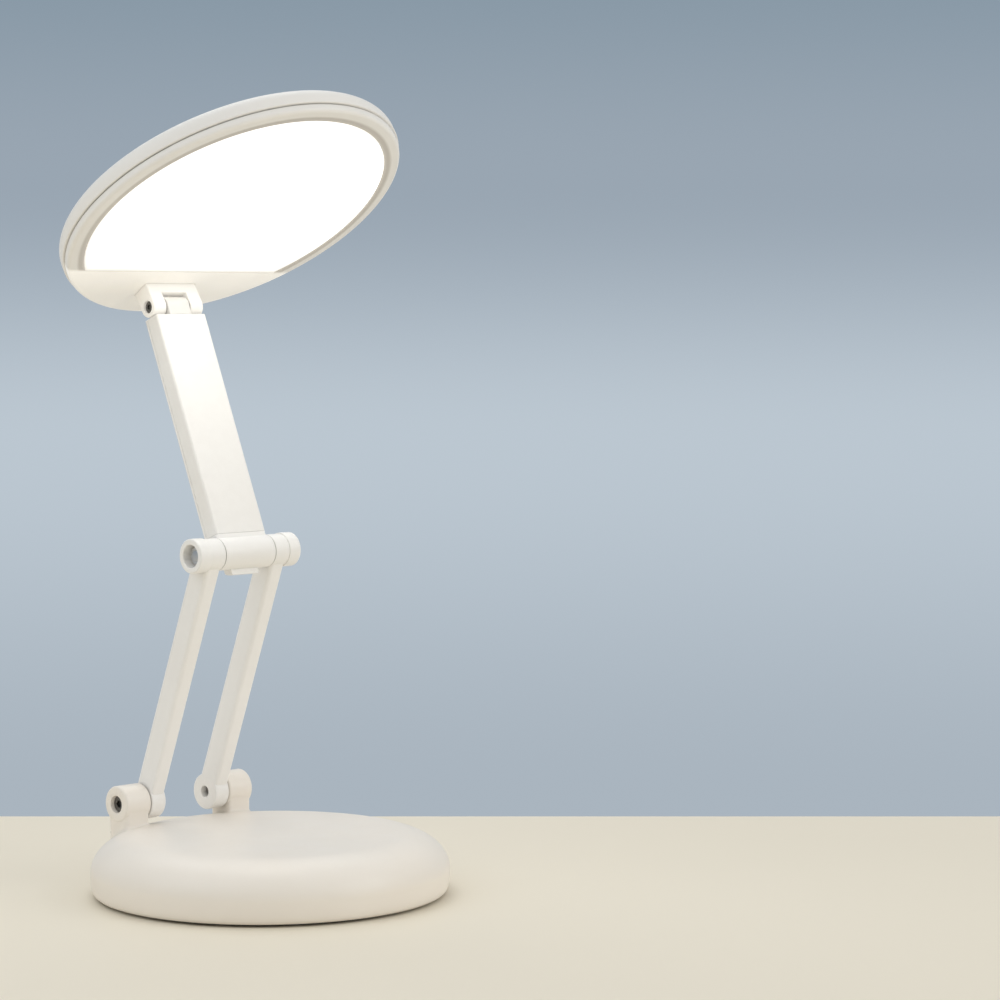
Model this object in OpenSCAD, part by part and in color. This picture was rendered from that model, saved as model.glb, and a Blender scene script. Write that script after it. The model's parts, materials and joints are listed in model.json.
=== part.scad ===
// Folding desk lamp: a round weighted base, a two-legged lower arm, a flat upper arm
// and a round lamp head. The legs fold forward onto the base, the upper arm folds back
// between the legs, and the head folds forward over both, so that a flat puck is left.
// Millimetres. The origin is the centre of the base on the table, the hinges run along X,
// and -Y is the front.

/* [Base] */
// Largest diameter of the base
base_d = 120; // [112:1:140]
// Height of the base's flat top above the table
base_h = 20; // [19:0.5:24]
// Diameter of the flat part of the base's top
base_flat_d = 88; // [80:1:96]
// Height of the base's widest line above the table
belly_z = 8; // [7:0.5:9]
// How far the base draws in from its widest line to its bottom edge
base_tuck = 1.3; // [0.6:0.1:2]
// Wall of the base's shell
base_wall = 1.8; // [1.4:0.1:2]
// Thickness of the bottom cover
cover_t = 2; // [1.6:0.1:2.2]
// How far the foot ring holds the base off the table
foot_h = 1; // [0.8:0.1:1.5]
// Width of the foot ring
foot_w = 5; // [3:0.5:6]
// Gap between the steel counterweight and the screw bosses round it
weight_gap = 1.4; // [0.8:0.1:8]
// Thickness of the steel counterweight
weight_t = 4; // [3:0.1:4]

/* [Base hinge] */
// Distance of the base hinge from the base's rear edge
hinge_inset = 12.5; // [12:0.5:15]
// Height of the base hinge above the base's flat top
hinge_rise = 7.5; // [7:0.1:9]
// Radius of the base's two hinge lugs
lug_r = 6.2; // [5.8:0.1:6.6]
// Length of each hinge lug along the hinge
lug_w = 10.4; // [8:0.1:12]

/* [Lower arm] */
// Distance between the base hinge and the elbow
lower_l = 92; // [85:1:105]
// Clear gap between the two legs
leg_gap = 22.2; // [20:0.1:26]
// Width of a leg along the hinge
leg_w = 6; // [5.6:0.1:7]
// Depth of a leg from front to rear
leg_t = 8.8; // [8:0.1:9]
// Radius of the elbow's barrel
barrel_r = 5.5; // [5.2:0.1:5.7]
// Length of each end cap of the barrel
cap_w = 4.9; // [4.2:0.1:6]
// How far the end caps stand out round the barrel
cap_lip = 0.3; // [0:0.1:0.4]

/* [Upper arm] */
// Thickness of the upper arm from front to rear
arm_t = 7; // [6.6:0.1:7.4]
// How far the upper arm's middle lies behind the elbow's axis
arm_back = 0.6; // [0.4:0.1:1]
// Wall of the upper arm's shell
arm_wall = 1.5; // [1.2:0.1:1.7]
// Radius of the upper arm's rounded tail below the elbow
tail_r = 7.4; // [6:0.1:7.6]
// Width of the tail along the hinge
tail_w = 11.6; // [8:0.1:14]

/* [Head] */
// Diameter of the lamp head
head_d = 120; // [116:1:124]
// Thickness of the lamp head
head_t = 9.5; // [9.2:0.1:12]
// Distance of the head hinge from the head's edge
head_inset = 15; // [13:0.5:17]
// Wall of the head's back shell
head_wall = 1.6; // [1.2:0.1:1.8]
// Width of the front ring round the light
rim_w = 6.5; // [4.5:0.1:7.5]
// Height of the front ring's side, up to the thin line where the head's shell begins
ring_side = 2.7; // [2:0.1:3]
// Distance of the light's straight edge from the head hinge
strip_l = 11; // [10.5:0.5:14]
// Radius of the edge between the head's side and its back
head_round = 4; // [2:0.1:4.5]
// Half the width of the head's hinge cheeks, and the radius of their round ends
cheek_r = 3.6; // [3.4:0.1:4]
// Width of each hinge cheek along the hinge
cheek_w = 5.5; // [4.5:0.1:6]

/* [Controls] */
// Distance of each button from the middle of the rear wall
button_x = 13; // [12.5:0.1:13.6]
// Radius of a button
button_r = 2.8; // [2:0.1:3]
// How far a button stands out of the wall
button_out = 1; // [0.8:0.1:1.5]
// Travel of a button
button_travel = 0.7; // [0.4:0.1:0.8]

/* [Pose] */
// How far the lower arm leans forward from upright
lower_lean = 21; // [0:0.1:30]
// How far the upper arm leans back from upright
upper_lean = 22.8; // [0:0.1:40]
// How far the head points up from level
head_tilt = 33.2; // [0:0.1:60]

/* [Hidden] */

// Colours of the real pieces
ivory = [0.93, 0.90, 0.84];
light_on = [1, 0.98, 0.92];
steel = [0.62, 0.63, 0.65];
pcb_green = [0.10, 0.35, 0.20];
foil_silver = [0.75, 0.76, 0.78];
rubber_grey = [0.16, 0.15, 0.14];
wire_white = [0.85, 0.85, 0.83];
clear_acrylic = [0.92, 0.95, 0.97];
white_film = [0.97, 0.97, 0.97];
phosphor_yellow = [0.95, 0.85, 0.35];

// Clearances
joint_gap = 0.3;      // between faces that pass each other at a joint
run_gap = 0.05;       // radial, a pin in the hole that turns on it
seat_gap = 0.2;       // round a cover or plate in its opening
slit = 0.3;           // dark line between the head's shell and its front ring

// Screws and washers
screw_r = 1;          // thread of the small screws
screw_head_r = 2;
screw_head_t = 1.2;
base_screw_l = 8;
screw_end_gap = 2;    // left free in a screw hole
hex_r = 0.9;          // recess for the screwdriver
hex_depth = 0.6;
small_screw_r = 0.8;  // screws of the circuit board
small_head_r = 1.6;
small_head_t = 1;
post_screw_l = 4;
plate_screw_bite = 2.5;
boss_r = 3;
boss_gap = 1.1;       // between a boss and the foot ring's seat
pin_r = 2;            // hinge screws and elbow shaft
pin_head_r = 2.8;
pin_head_t = 1.6;
pin_sink = 1.2;       // how deep a hinge screw's head lies in the lug
washer_r = 3.9;
washer_t = 0.8;       // part of a washer that lies in its seat
washer_out = 0.15;    // part of a washer that stands out of its seat
head_pin_r = 1.5;
head_pin_sink_r = 2.2;
head_pin_sink = 1.6;
head_washer_r = 2.8;
bevel = 0.8;          // along the arms' long edges
small_bevel = 0.4;

// Base
base_r = base_d / 2;
base_edge_r = base_r - base_tuck;
base_flat_r = base_flat_d / 2;
cover_r = base_edge_r - base_wall - seat_gap;
foot_edge = 1.2;
foot_r = cover_r - foot_edge;
foot_seat = 0.6;
cover_top = foot_h + cover_t;
boss_at = foot_r - foot_w - boss_r - boss_gap;
weight_r = boss_at - boss_r - weight_gap;
weight_z = cover_top + seat_gap;
battery = [60, 36, 8.4];
battery_y = -12;
battery_z = weight_z + weight_t + seat_gap;

// Circuit board, behind the counterweight, with a tab that carries the charging socket
board_t = 1.6;
board_lift = 1.2;
board_z = cover_top + board_lift;
board_w = 48;
board_tab_w = 14;
board_tab_l = 4;
board_gap = 0.8;
board_front = weight_r + board_gap;
post_r = 2.2;
post_x = 17;
post_y = board_front + post_r + 1.2;
lead_r = 0.6;
lead_x = [-4, -1.5];

// Charging socket, a receptacle of the standard size
usb_w = 8.94;
usb_h = 3.26;
usb_l = 7.3;
usb_shell = 0.3;
usb_depth = 6;
tab_h = 0.7;
control_z = board_z + board_t + usb_h / 2;
control_cut = 8;      // how far the controls' openings reach in from the base's edge
light_x = 7.2;
light_r = 0.9;
button_gap = 0.25;     // round a button in its opening
button_flange = 1;
button_lip = 0.9;
button_stem = 5.4;
switch_w = 6;
switch_l = 3.6;
switch_h = 3.8;
plunger_r = 1.4;
plunger_l = 0.7;

// Hinge axes at rest
hinge_y = base_r - hinge_inset;
hinge_z = base_h + hinge_rise;
leg_in = leg_gap / 2;
leg_out = leg_in + leg_w;
lug_in = leg_out + joint_gap;
lug_out = lug_in + lug_w;
pedestal_front = lug_r - 0.6;   // the lug's front runs almost straight down into the base
pedestal_rear = lug_r - 1.4;
pedestal_side = 0.3;
cap_out = leg_out + cap_w;
cap_r = barrel_r + cap_lip;
cap_floor = 1;
nut_r = 3;
nut_t = 1.3;
cap_pocket_r = 3.8;
shaft_end = leg_out + cap_floor + seat_gap + nut_t + 0.4;
leg_eye_r = lug_r;
leg_channel_w = 3;
leg_channel_t = 4.6;
leg_lid_w = 4.2;
leg_lid_t = 1.2;
leg_lid_start = 9;
leg_lid_end = lower_l - leg_lid_start;
wire_r = 0.9;

// Upper arm, which folds in between the legs
arm_hw = leg_in - joint_gap;
arm_front = arm_back - arm_t / 2;
arm_rear = arm_back + arm_t / 2;
head_axis_in = head_d / 2 - head_inset;
upper_l = lower_l + head_axis_in - hinge_y;   // keeps the folded head over the base's centre
arm_bottom = barrel_r + 0.7;
arm_top = upper_l - cheek_r - joint_gap;
lid_t = 1.4;
tenon = 14;
tenon_hw = arm_hw - arm_wall - seat_gap;
tenon_front = arm_front + arm_wall + seat_gap;
tenon_rear = arm_rear - lid_t - seat_gap;
tongue_hw = arm_hw - cheek_w - joint_gap - 0.2;

// Head: its face clears the hinge lugs when the lamp is folded
face_z = arm_back + lug_r + joint_gap;
back_z = face_z + head_t;
head_r = head_d / 2;
light_r_in = head_r - rim_w;
chord_y = -strip_l;
ring_t = 1.3;
ring_wall = 1.6;
ring_bevel = 1.2;
ring_r = head_r - 0.7;
shell_z = face_z + ring_side + slit;
snap_t = 1.4;
snap_h = 2;
diffuser_t = 1.5;
guide_t = 2.3;
sheet_t = 0.4;
guide_z = face_z + diffuser_t + 0.15;
guide_r = head_r - head_wall - snap_t - 0.8;
guide_chord_y = chord_y + 2;
led_size = [2.8, 1, 1.8];
led_pitch = 4;
led_count = 16;
led_board_t = 1;
led_y = guide_chord_y + 0.1;
led_z = guide_z + guide_t / 2;
pocket_hw = arm_hw + seat_gap;
pocket_r = cheek_r + seat_gap;
pocket_round = 0.4;
plate_hw = 18;
plate_front = 6;
plate_rear = 8.5;
plate_z = face_z + ring_t + 0.6;
plate_t = 2.4;
block_screw_x = 14.5;
cheek_out = arm_hw;
cheek_in = cheek_out - cheek_w;

fine = 96;
mid = 48;

// ---------- shapes used by several pieces ----------

// Points on an ellipse's arc
function arc(cx, cz, rx, rz, a0, a1, n) =
    [for (i = [0:n]) let (a = a0 + (a1 - a0) * i / n) [cx + rx * cos(a), cz + rz * sin(a)]];

// Round bar along X, with a bevel at both ends
module rod_x(r, x0, x1, edge = 0) {
    l = x1 - x0;
    translate([x0, 0, 0])
        rotate([0, 90, 0])
            rotate_extrude($fn = mid)
                polygon([[0, 0], [r - edge, 0], [r, edge], [r, l - edge], [r - edge, l], [0, l]]);
}

// Flat ring along X
module ring_x(r_out, r_in, x0, x1) {
    difference() {
        rod_x(r_out, x0, x1);
        rod_x(r_in, x0 - 1, x1 + 1);
    }
}

// Bar along Z whose long edges are bevelled at the front, the rear or both
module bar_z(x0, x1, y0, y1, z0, z1, front = bevel, rear = bevel) {
    translate([0, 0, z0])
        linear_extrude(z1 - z0)
            polygon([[x0 + front, y0], [x1 - front, y0], [x1, y0 + front], [x1, y1 - rear],
                     [x1 - rear, y1], [x0 + rear, y1], [x0, y1 - rear], [x0, y0 + front]]);
}

module box(x0, x1, y0, y1, z0, z1) {
    translate([x0, y0, z0]) cube([x1 - x0, y1 - y0, z1 - z0]);
}

// Slot with round ends, standing in the XZ plane and running along Y
module slot_y(w, h, y0, y1) {
    translate([0, y1, 0])
        rotate([90, 0, 0])
            linear_extrude(y1 - y0)
                union() {
                    square([w - h, h], center = true);
                    for (s = [-1, 1]) translate([s * (w - h) / 2, 0]) circle(d = h, $fn = mid);
                }
}

// A circle with its rear cut off straight, centred on the head
module d_shape(r, y_cut) {
    intersection() {
        translate([0, -head_axis_in]) circle(r = r, $fn = fine);
        translate([-r, -head_axis_in - r]) square([2 * r, y_cut + head_axis_in + r]);
    }
}

// Places: each frame has its hinge axis as its X axis
module at_base_hinge() {
    translate([0, hinge_y, hinge_z]) rotate([lower_lean, 0, 0]) children();
}

module at_elbow() {
    at_base_hinge() translate([0, 0, lower_l]) rotate([-lower_lean - upper_lean, 0, 0]) children();
}

module at_head_hinge() {
    at_elbow() translate([0, arm_back, upper_l]) rotate([upper_lean - head_tilt, 0, 0]) children();
}

module at_base_bosses() {
    for (a = [45:90:315]) rotate(a) translate([boss_at, 0, 0]) children();
}

// ---------- base ----------

// Half section of the base's outer form
function base_section() = concat(
    [[0, foot_h]],
    arc(base_edge_r, belly_z, base_tuck, belly_z - foot_h, -90, 0, 8),
    arc(base_flat_r, belly_z, base_r - base_flat_r, base_h - belly_z, 4, 90, 22),
    [[0, base_h]]);

// Half section of the space inside the base
function base_hollow() = concat(
    [[0, foot_h - 1], [base_edge_r - base_wall, foot_h - 1], [base_edge_r - base_wall, foot_h]],
    arc(base_flat_r, belly_z, base_r - base_flat_r - base_wall,
        base_h - belly_z - base_wall, 0, 90, 14),
    [[0, base_h - base_wall]]);

module hinge_lug(side) {
    translate([0, hinge_y, hinge_z])
        mirror([side < 0 ? 1 : 0, 0, 0])
            rod_x(lug_r, lug_in, lug_out, bevel);
    mirror([side < 0 ? 1 : 0, 0, 0])
        box(lug_in + pedestal_side, lug_out - pedestal_side,
            hinge_y - pedestal_front, hinge_y + pedestal_rear, belly_z, hinge_z);
}

module hinge_lug_holes(side) {
    translate([0, hinge_y, hinge_z])
        mirror([side < 0 ? 1 : 0, 0, 0]) {
            rod_x(pin_r, lug_in - 1, lug_out);
            rod_x(pin_head_r + seat_gap, lug_out - pin_sink - pin_head_t, lug_out + 1);
            rod_x(washer_r + 0.1, lug_in - 1, lug_in + washer_t);
        }
}

module base_top_shell() {
    color(ivory)
        difference() {
            union() {
                difference() {
                    union() {
                        rotate_extrude($fn = fine) polygon(base_section());
                        hinge_lug(1);
                        hinge_lug(-1);
                    }
                    rotate_extrude($fn = fine) polygon(base_hollow());
                }
                at_base_bosses()
                    translate([0, 0, cover_top])
                        cylinder(r = boss_r, h = base_h - base_wall / 2 - cover_top, $fn = mid);
            }
            hinge_lug_holes(1);
            hinge_lug_holes(-1);
            at_base_bosses()
                translate([0, 0, foot_h])
                    cylinder(r = screw_r, h = base_screw_l + screw_end_gap, $fn = mid);
            translate([0, 0, control_z]) {
                slot_y(usb_w + 2 * seat_gap, usb_h + 2 * seat_gap, base_r - control_cut, base_r + 1);
                for (x = [-button_x, button_x])
                    translate([x, base_r - control_cut, 0])
                        rotate([-90, 0, 0])
                            cylinder(r = button_r + button_gap, h = control_cut + 1, $fn = mid);
                translate([light_x, base_r - control_cut, 0])
                    rotate([-90, 0, 0]) cylinder(r = light_r, h = control_cut + 1, $fn = mid);
            }
            // channel for the wire, from the base up into the right lug
            translate([lug_in + lug_w / 2, hinge_y, belly_z])
                cylinder(r = wire_r + 0.4, h = hinge_z - belly_z - pin_r - 0.6, $fn = mid);
        }
}

module base_bottom_cover() {
    color(ivory)
        difference() {
            union() {
                translate([0, 0, foot_h]) cylinder(r = cover_r, h = cover_t, $fn = fine);
                for (x = [-post_x, post_x])
                    translate([x, post_y, foot_h + cover_t / 2])
                        cylinder(r = post_r, h = board_z - foot_h - cover_t / 2, $fn = mid);
            }
            translate([0, 0, foot_h - 1])
                rotate_extrude($fn = fine)
                    translate([foot_r - foot_w, 0]) square([foot_w, 1 + foot_seat]);
            at_base_bosses() translate([0, 0, foot_h - 1]) {
                cylinder(r = screw_r + 0.2, h = cover_t + 2, $fn = mid);
                cylinder(r = screw_head_r + seat_gap, h = 1 + screw_head_t, $fn = mid);
            }
            for (x = [-post_x, post_x])
                translate([x, post_y, board_z + board_t - post_screw_l])
                    cylinder(r = small_screw_r, h = post_screw_l, $fn = mid);
        }
}

module foot_ring() {
    color(rubber_grey)
        rotate_extrude($fn = fine)
            polygon([[foot_r - foot_w + 0.1, foot_h + foot_seat], [foot_r - foot_w + 0.1, 0.4],
                     [foot_r - foot_w + 0.5, 0], [foot_r - 0.5, 0], [foot_r - 0.1, 0.4],
                     [foot_r - 0.1, foot_h + foot_seat]]);
}

module counterweight() {
    color(steel)
        translate([0, 0, weight_z])
            difference() {
                cylinder(r = weight_r, h = weight_t, $fn = fine);
                translate([0, 0, -1]) cylinder(r = 3, h = weight_t + 2, $fn = mid);
            }
}

module battery_pack() {
    color(foil_silver)
        translate([-battery[0] / 2, battery_y - battery[1] / 2, battery_z]) cube(battery);
}

// Two wires that leave the cell over the counterweight and go down to the board
module battery_leads() {
    start = battery_y + battery[1] / 2;
    end = board_front + 2;
    lead_z = weight_z + weight_t + lead_r + seat_gap;
    color(wire_white)
        for (x = lead_x) {
            translate([x, start, lead_z])
                rotate([-90, 0, 0]) cylinder(r = lead_r, h = end - start, $fn = 16);
            translate([x, end, lead_z]) sphere(r = lead_r, $fn = 16);
            translate([x, end, board_z + board_t])
                cylinder(r = lead_r, h = lead_z - board_z - board_t, $fn = 16);
        }
}

module control_board() {
    color(pcb_green)
        translate([0, 0, board_z])
            difference() {
                intersection() {
                    union() {
                        box(-board_w / 2, board_w / 2, board_front, board_rear, 0, board_t);
                        box(-board_tab_w / 2, board_tab_w / 2, board_front,
                            board_rear + board_tab_l, 0, board_t);
                    }
                    cylinder(r = base_edge_r - base_wall - board_gap, h = board_t, $fn = fine);
                }
                for (x = [-post_x, post_x])
                    translate([x, post_y, -1])
                        cylinder(r = small_screw_r + seat_gap, h = board_t + 2, $fn = mid);
            }
}

module board_screws() {
    color(steel)
        for (x = [-post_x, post_x])
            translate([x, post_y, board_z + board_t]) {
                translate([0, 0, -post_screw_l])
                    cylinder(r = small_screw_r, h = post_screw_l, $fn = mid);
                cylinder(r = small_head_r, h = small_head_t, $fn = mid);
            }
}

// The metal shell with its tongue stands on the board, its mouth just inside the wall
module usb_c_socket() {
    mouth = base_r - 0.4;
    color(steel)
        translate([0, 0, control_z]) {
            difference() {
                slot_y(usb_w, usb_h, mouth - usb_l, mouth);
                slot_y(usb_w - 2 * usb_shell, usb_h - 2 * usb_shell, mouth - usb_depth, mouth + 1);
            }
            box(-usb_w / 2 + 1.1, usb_w / 2 - 1.1, mouth - usb_depth - 0.2, mouth - 1,
                -tab_h / 2, tab_h / 2);
        }
}

module charge_light() {
    wall_y = sqrt(base_r * base_r - light_x * light_x);
    color(light_on)
        translate([light_x, board_rear - light_r, control_z])
            rotate([-90, 0, 0])
                cylinder(r = light_r - run_gap, h = wall_y - board_rear + light_r, $fn = mid);
}

// Where a button's head ends, where its flange lies behind the wall, and the board's rear edge
button_face_y = sqrt(base_r * base_r - button_x * button_x) + button_out;
button_back_y = button_face_y - button_out - button_stem;
board_rear = button_back_y - button_travel - joint_gap;

module tact_switches() {
    front = button_back_y - button_travel - 0.1;   // the button reaches the plunger as it stops
    color(steel)
        for (x = [-button_x, button_x]) {
            box(x - switch_w / 2, x + switch_w / 2, front - plunger_l - switch_l,
                front - plunger_l, board_z + board_t, board_z + board_t + switch_h);
            translate([x, front - plunger_l, control_z])
                rotate([-90, 0, 0]) cylinder(r = plunger_r, h = plunger_l, $fn = mid);
        }
}

module push_button(x) {
    color(ivory)
        translate([x, button_back_y, control_z])
            rotate([-90, 0, 0]) {
                cylinder(r = button_r + button_lip, h = button_flange, $fn = mid);
                rotate_extrude($fn = mid)
                    polygon([[0, 0], [button_r, 0], [button_r, button_stem + button_out - small_bevel],
                             [button_r - small_bevel, button_stem + button_out],
                             [0, button_stem + button_out]]);
            }
}

module power_button() {
    push_button(-button_x);
}

module brightness_button() {
    push_button(button_x);
}

module base_screws() {
    color(steel)
        at_base_bosses() translate([0, 0, foot_h + 0.1]) {
            difference() {
                cylinder(r = screw_head_r, h = screw_head_t - 0.1, $fn = mid);
                translate([0, 0, -0.1]) cylinder(r = hex_r, h = hex_depth + 0.1, $fn = 6);
            }
            translate([0, 0, hex_depth])
                cylinder(r = screw_r - 0.02, h = base_screw_l - hex_depth, $fn = mid);
        }
}

module base_hinge_screws() {
    head_x = lug_out - pin_sink - pin_head_t;
    color(steel)
        translate([0, hinge_y, hinge_z])
            for (side = [0, 1])
                mirror([side, 0, 0])
                    difference() {
                        union() {
                            rod_x(pin_r - 0.01, leg_in + 1.5, head_x + 0.1);
                            rod_x(pin_head_r, head_x, head_x + pin_head_t, 0.2);
                        }
                        translate([head_x + pin_head_t - 1, 0, 0])
                            rotate([0, 90, 0]) cylinder(r = 1.4, h = 2, $fn = 6);
                    }
}

module base_hinge_washers() {
    color(steel)
        translate([0, hinge_y, hinge_z])
            for (side = [0, 1])
                mirror([side, 0, 0])
                    ring_x(washer_r, pin_r + run_gap, lug_in - washer_out, lug_in + washer_t);
}

module base_wire() {
    x = lug_in + lug_w / 2;
    bottom = board_z + board_t;
    color(wire_white)
        translate([x, hinge_y, bottom])
            cylinder(r = wire_r, h = hinge_z - pin_r - 1.5 - bottom, $fn = 24);
}

// ---------- lower arm ----------

module leg(side) {
    color(ivory)
        at_base_hinge()
            mirror([side < 0 ? 1 : 0, 0, 0])
                difference() {
                    union() {
                        bar_z(leg_in, leg_out, -leg_t / 2, leg_t / 2, 0, lower_l);
                        rod_x(leg_eye_r, leg_in, leg_out, small_bevel);
                        translate([0, 0, lower_l]) rod_x(barrel_r, leg_in, leg_out);
                    }
                    rod_x(pin_r + run_gap, leg_in - 1, leg_out + 1);
                    translate([0, 0, lower_l]) {
                        rod_x(pin_r + run_gap, leg_in - 1, leg_out + 1);
                        rod_x(washer_r + 0.1, leg_in - 1, leg_in + washer_t);
                    }
                    leg_channel();
                }
}

// The channel for the wire, and the step for its lid, in the rear face of a leg
module leg_channel() {
    x = (leg_in + leg_out) / 2;
    box(x - leg_channel_w / 2, x + leg_channel_w / 2, leg_t / 2 - leg_channel_t, leg_t,
        leg_lid_start + 1, leg_lid_end - 1);
    box(x - leg_lid_w / 2, x + leg_lid_w / 2, leg_t / 2 - leg_lid_t, leg_t,
        leg_lid_start, leg_lid_end);
}

module left_leg() {
    leg(-1);
}

module right_leg() {
    leg(1);
}

module leg_cover(side) {
    x = (leg_in + leg_out) / 2;
    edge = 0.1;
    color(ivory)
        at_base_hinge()
            mirror([side < 0 ? 1 : 0, 0, 0])
                bar_z(x - leg_lid_w / 2 + edge, x + leg_lid_w / 2 - edge,
                      leg_t / 2 - leg_lid_t, leg_t / 2 - edge,
                      leg_lid_start + edge, leg_lid_end - edge, 0.1, 0.2);
}

module left_leg_cover() {
    leg_cover(-1);
}

module right_leg_cover() {
    leg_cover(1);
}

module leg_wire() {
    color(wire_white)
        at_base_hinge()
            translate([(leg_in + leg_out) / 2, leg_t / 2 - leg_channel_t + wire_r + 0.3,
                       leg_lid_start + 1])
                cylinder(r = wire_r, h = leg_lid_end - leg_lid_start - 2, $fn = 24);
}

module elbow_cap(side) {
    color(ivory)
        at_base_hinge()
            translate([0, 0, lower_l])
                mirror([side < 0 ? 1 : 0, 0, 0])
                    difference() {
                        rod_x(cap_r, leg_out, cap_out, small_bevel);
                        rod_x(pin_r + run_gap, leg_out - 1, cap_out);
                        rod_x(cap_pocket_r, leg_out + cap_floor, cap_out + 1);
                    }
}

module left_elbow_cap() {
    elbow_cap(-1);
}

module right_elbow_cap() {
    elbow_cap(1);
}

module elbow_shaft() {
    color(steel)
        at_base_hinge()
            translate([0, 0, lower_l])
                rod_x(pin_r - 0.01, -shaft_end, shaft_end, 0.3);
}

module elbow_nuts() {
    color(steel)
        at_base_hinge()
            translate([0, 0, lower_l])
                for (side = [0, 1])
                    mirror([side, 0, 0])
                        translate([leg_out + cap_floor + seat_gap, 0, 0])
                            rotate([0, 90, 0])
                                difference() {
                                    cylinder(r = nut_r, h = nut_t, $fn = 6);
                                    translate([0, 0, -1])
                                        cylinder(r = pin_r - 0.01, h = nut_t + 2, $fn = mid);
                                }
}

module elbow_washers() {
    color(steel)
        at_base_hinge()
            translate([0, 0, lower_l])
                for (side = [0, 1])
                    mirror([side, 0, 0])
                        ring_x(washer_r, pin_r + run_gap, leg_in - washer_out, leg_in + washer_t);
}

// ---------- upper arm ----------

// The barrel's middle, the round tail behind it, and the tenon that carries the arm
module elbow_knuckle() {
    color(ivory)
        at_elbow()
            difference() {
                union() {
                    rod_x(barrel_r, -arm_hw, arm_hw);
                    intersection() {
                        rod_x(tail_r, -tail_w / 2, tail_w / 2, small_bevel);
                        box(-arm_hw, arm_hw, 0, arm_rear, -tail_r, arm_bottom);
                    }
                    bar_z(-arm_hw, arm_hw, arm_front, arm_rear, 0, arm_bottom);
                    box(-tenon_hw, tenon_hw, tenon_front, tenon_rear, 0, arm_bottom + tenon);
                }
                rod_x(pin_r + run_gap, -arm_hw - 1, arm_hw + 1);
                // way for the wire, from the arm's hollow to the elbow
                translate([0, arm_back, pin_r + 1.2])
                    cylinder(r = wire_r + 0.4, h = arm_bottom + tenon, $fn = mid);
            }
}

module upper_arm_front() {
    color(ivory)
        at_elbow()
            difference() {
                bar_z(-arm_hw, arm_hw, arm_front, arm_rear - lid_t, arm_bottom, arm_top, bevel, 0);
                box(-arm_hw + arm_wall, arm_hw - arm_wall, arm_front + arm_wall, arm_rear,
                    arm_bottom - 1, arm_top + 1);
            }
}

arm_screw_z = [arm_bottom + tenon / 2, arm_top - tenon / 2];

module upper_arm_back() {
    color(ivory)
        at_elbow()
            difference() {
                bar_z(-arm_hw, arm_hw, arm_rear - lid_t, arm_rear, arm_bottom, arm_top, 0, bevel);
                for (x = [-tenon_hw + 3, tenon_hw - 3], z = arm_screw_z)
                    translate([x, arm_rear + 1, z])
                        rotate([90, 0, 0]) {
                            cylinder(r = screw_r + 0.2, h = lid_t + 2, $fn = mid);
                            cylinder(r = screw_head_r, h = 1 + lid_t / 2, $fn = mid);
                        }
            }
}

module arm_screws() {
    color(steel)
        at_elbow()
            for (x = [-tenon_hw + 3, tenon_hw - 3], z = arm_screw_z)
                translate([x, arm_rear - 0.1, z])
                    rotate([90, 0, 0])
                        difference() {
                            union() {
                                cylinder(r = screw_head_r - 0.2, h = lid_t / 2 - 0.1, $fn = mid);
                                cylinder(r = screw_r, h = lid_t - 0.1, $fn = mid);
                            }
                            translate([0, 0, -0.5]) cylinder(r = 0.8, h = 0.9, $fn = 6);
                        }
}

module arm_wire() {
    color(wire_white)
        at_elbow()
            translate([0, arm_back, pin_r + 1.5])
                cylinder(r = wire_r, h = upper_l - head_pin_r - pin_r - 4, $fn = 24);
}

// The narrow tongue that the head's cheeks hold, and the tenon that it grows from
module head_tongue() {
    color(ivory)
        at_elbow()
            translate([0, arm_back, 0])
                difference() {
                    union() {
                        box(-tongue_hw, tongue_hw, -arm_t / 2, arm_t / 2, arm_top, upper_l);
                        box(-tenon_hw, tenon_hw, tenon_front - arm_back, tenon_rear - arm_back,
                            arm_top - tenon, arm_top);
                        translate([0, 0, upper_l]) rod_x(arm_t / 2, -tongue_hw, tongue_hw);
                    }
                    translate([0, 0, upper_l])
                        rod_x(head_pin_r + run_gap, -tongue_hw - 1, tongue_hw + 1);
                    translate([0, 0, arm_top - tenon - 1])
                        cylinder(r = wire_r + 0.4, h = upper_l - head_pin_r - 1.6 - arm_top + tenon + 1,
                                 $fn = mid);
                }
}

// ---------- head ----------

// Half section of the back shell, about the head's centre
function head_outer() = concat(
    [[0, shell_z], [head_r - 0.5, shell_z], [head_r, shell_z + 0.5]],
    arc(head_r - head_round, back_z - head_round, head_round, head_round, 0, 90, 10),
    [[0, back_z]]);

function head_inner() = concat(
    [[0, shell_z - 1], [head_r - head_wall, shell_z - 1]],
    arc(head_r - head_round, back_z - head_round, head_round - head_wall,
        head_round - head_wall, 0, 90, 6),
    [[0, back_z - head_wall]]);

module head_back_shell() {
    color(ivory)
        at_head_hinge() {
            difference() {
                translate([0, -head_axis_in, 0]) rotate_extrude($fn = fine) polygon(head_outer());
                translate([0, -head_axis_in, 0]) rotate_extrude($fn = fine) polygon(head_inner());
            }
            for (x = [-block_screw_x, block_screw_x])
                translate([x, 0, plate_z + plate_t])
                    difference() {
                        cylinder(r = boss_r, h = back_z - head_wall / 2 - plate_z - plate_t, $fn = mid);
                        translate([0, 0, -1]) cylinder(r = screw_r, h = 4, $fn = mid);
                    }
        }
}

// Rounded opening in the front ring, through which the hinge block comes out
module hinge_pocket() {
    hull()
        for (x = [-1, 1] * (pocket_hw - pocket_round), y = [-1, 1] * (pocket_r - pocket_round))
            translate([x, y]) circle(r = pocket_round, $fn = 32);
}

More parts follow.
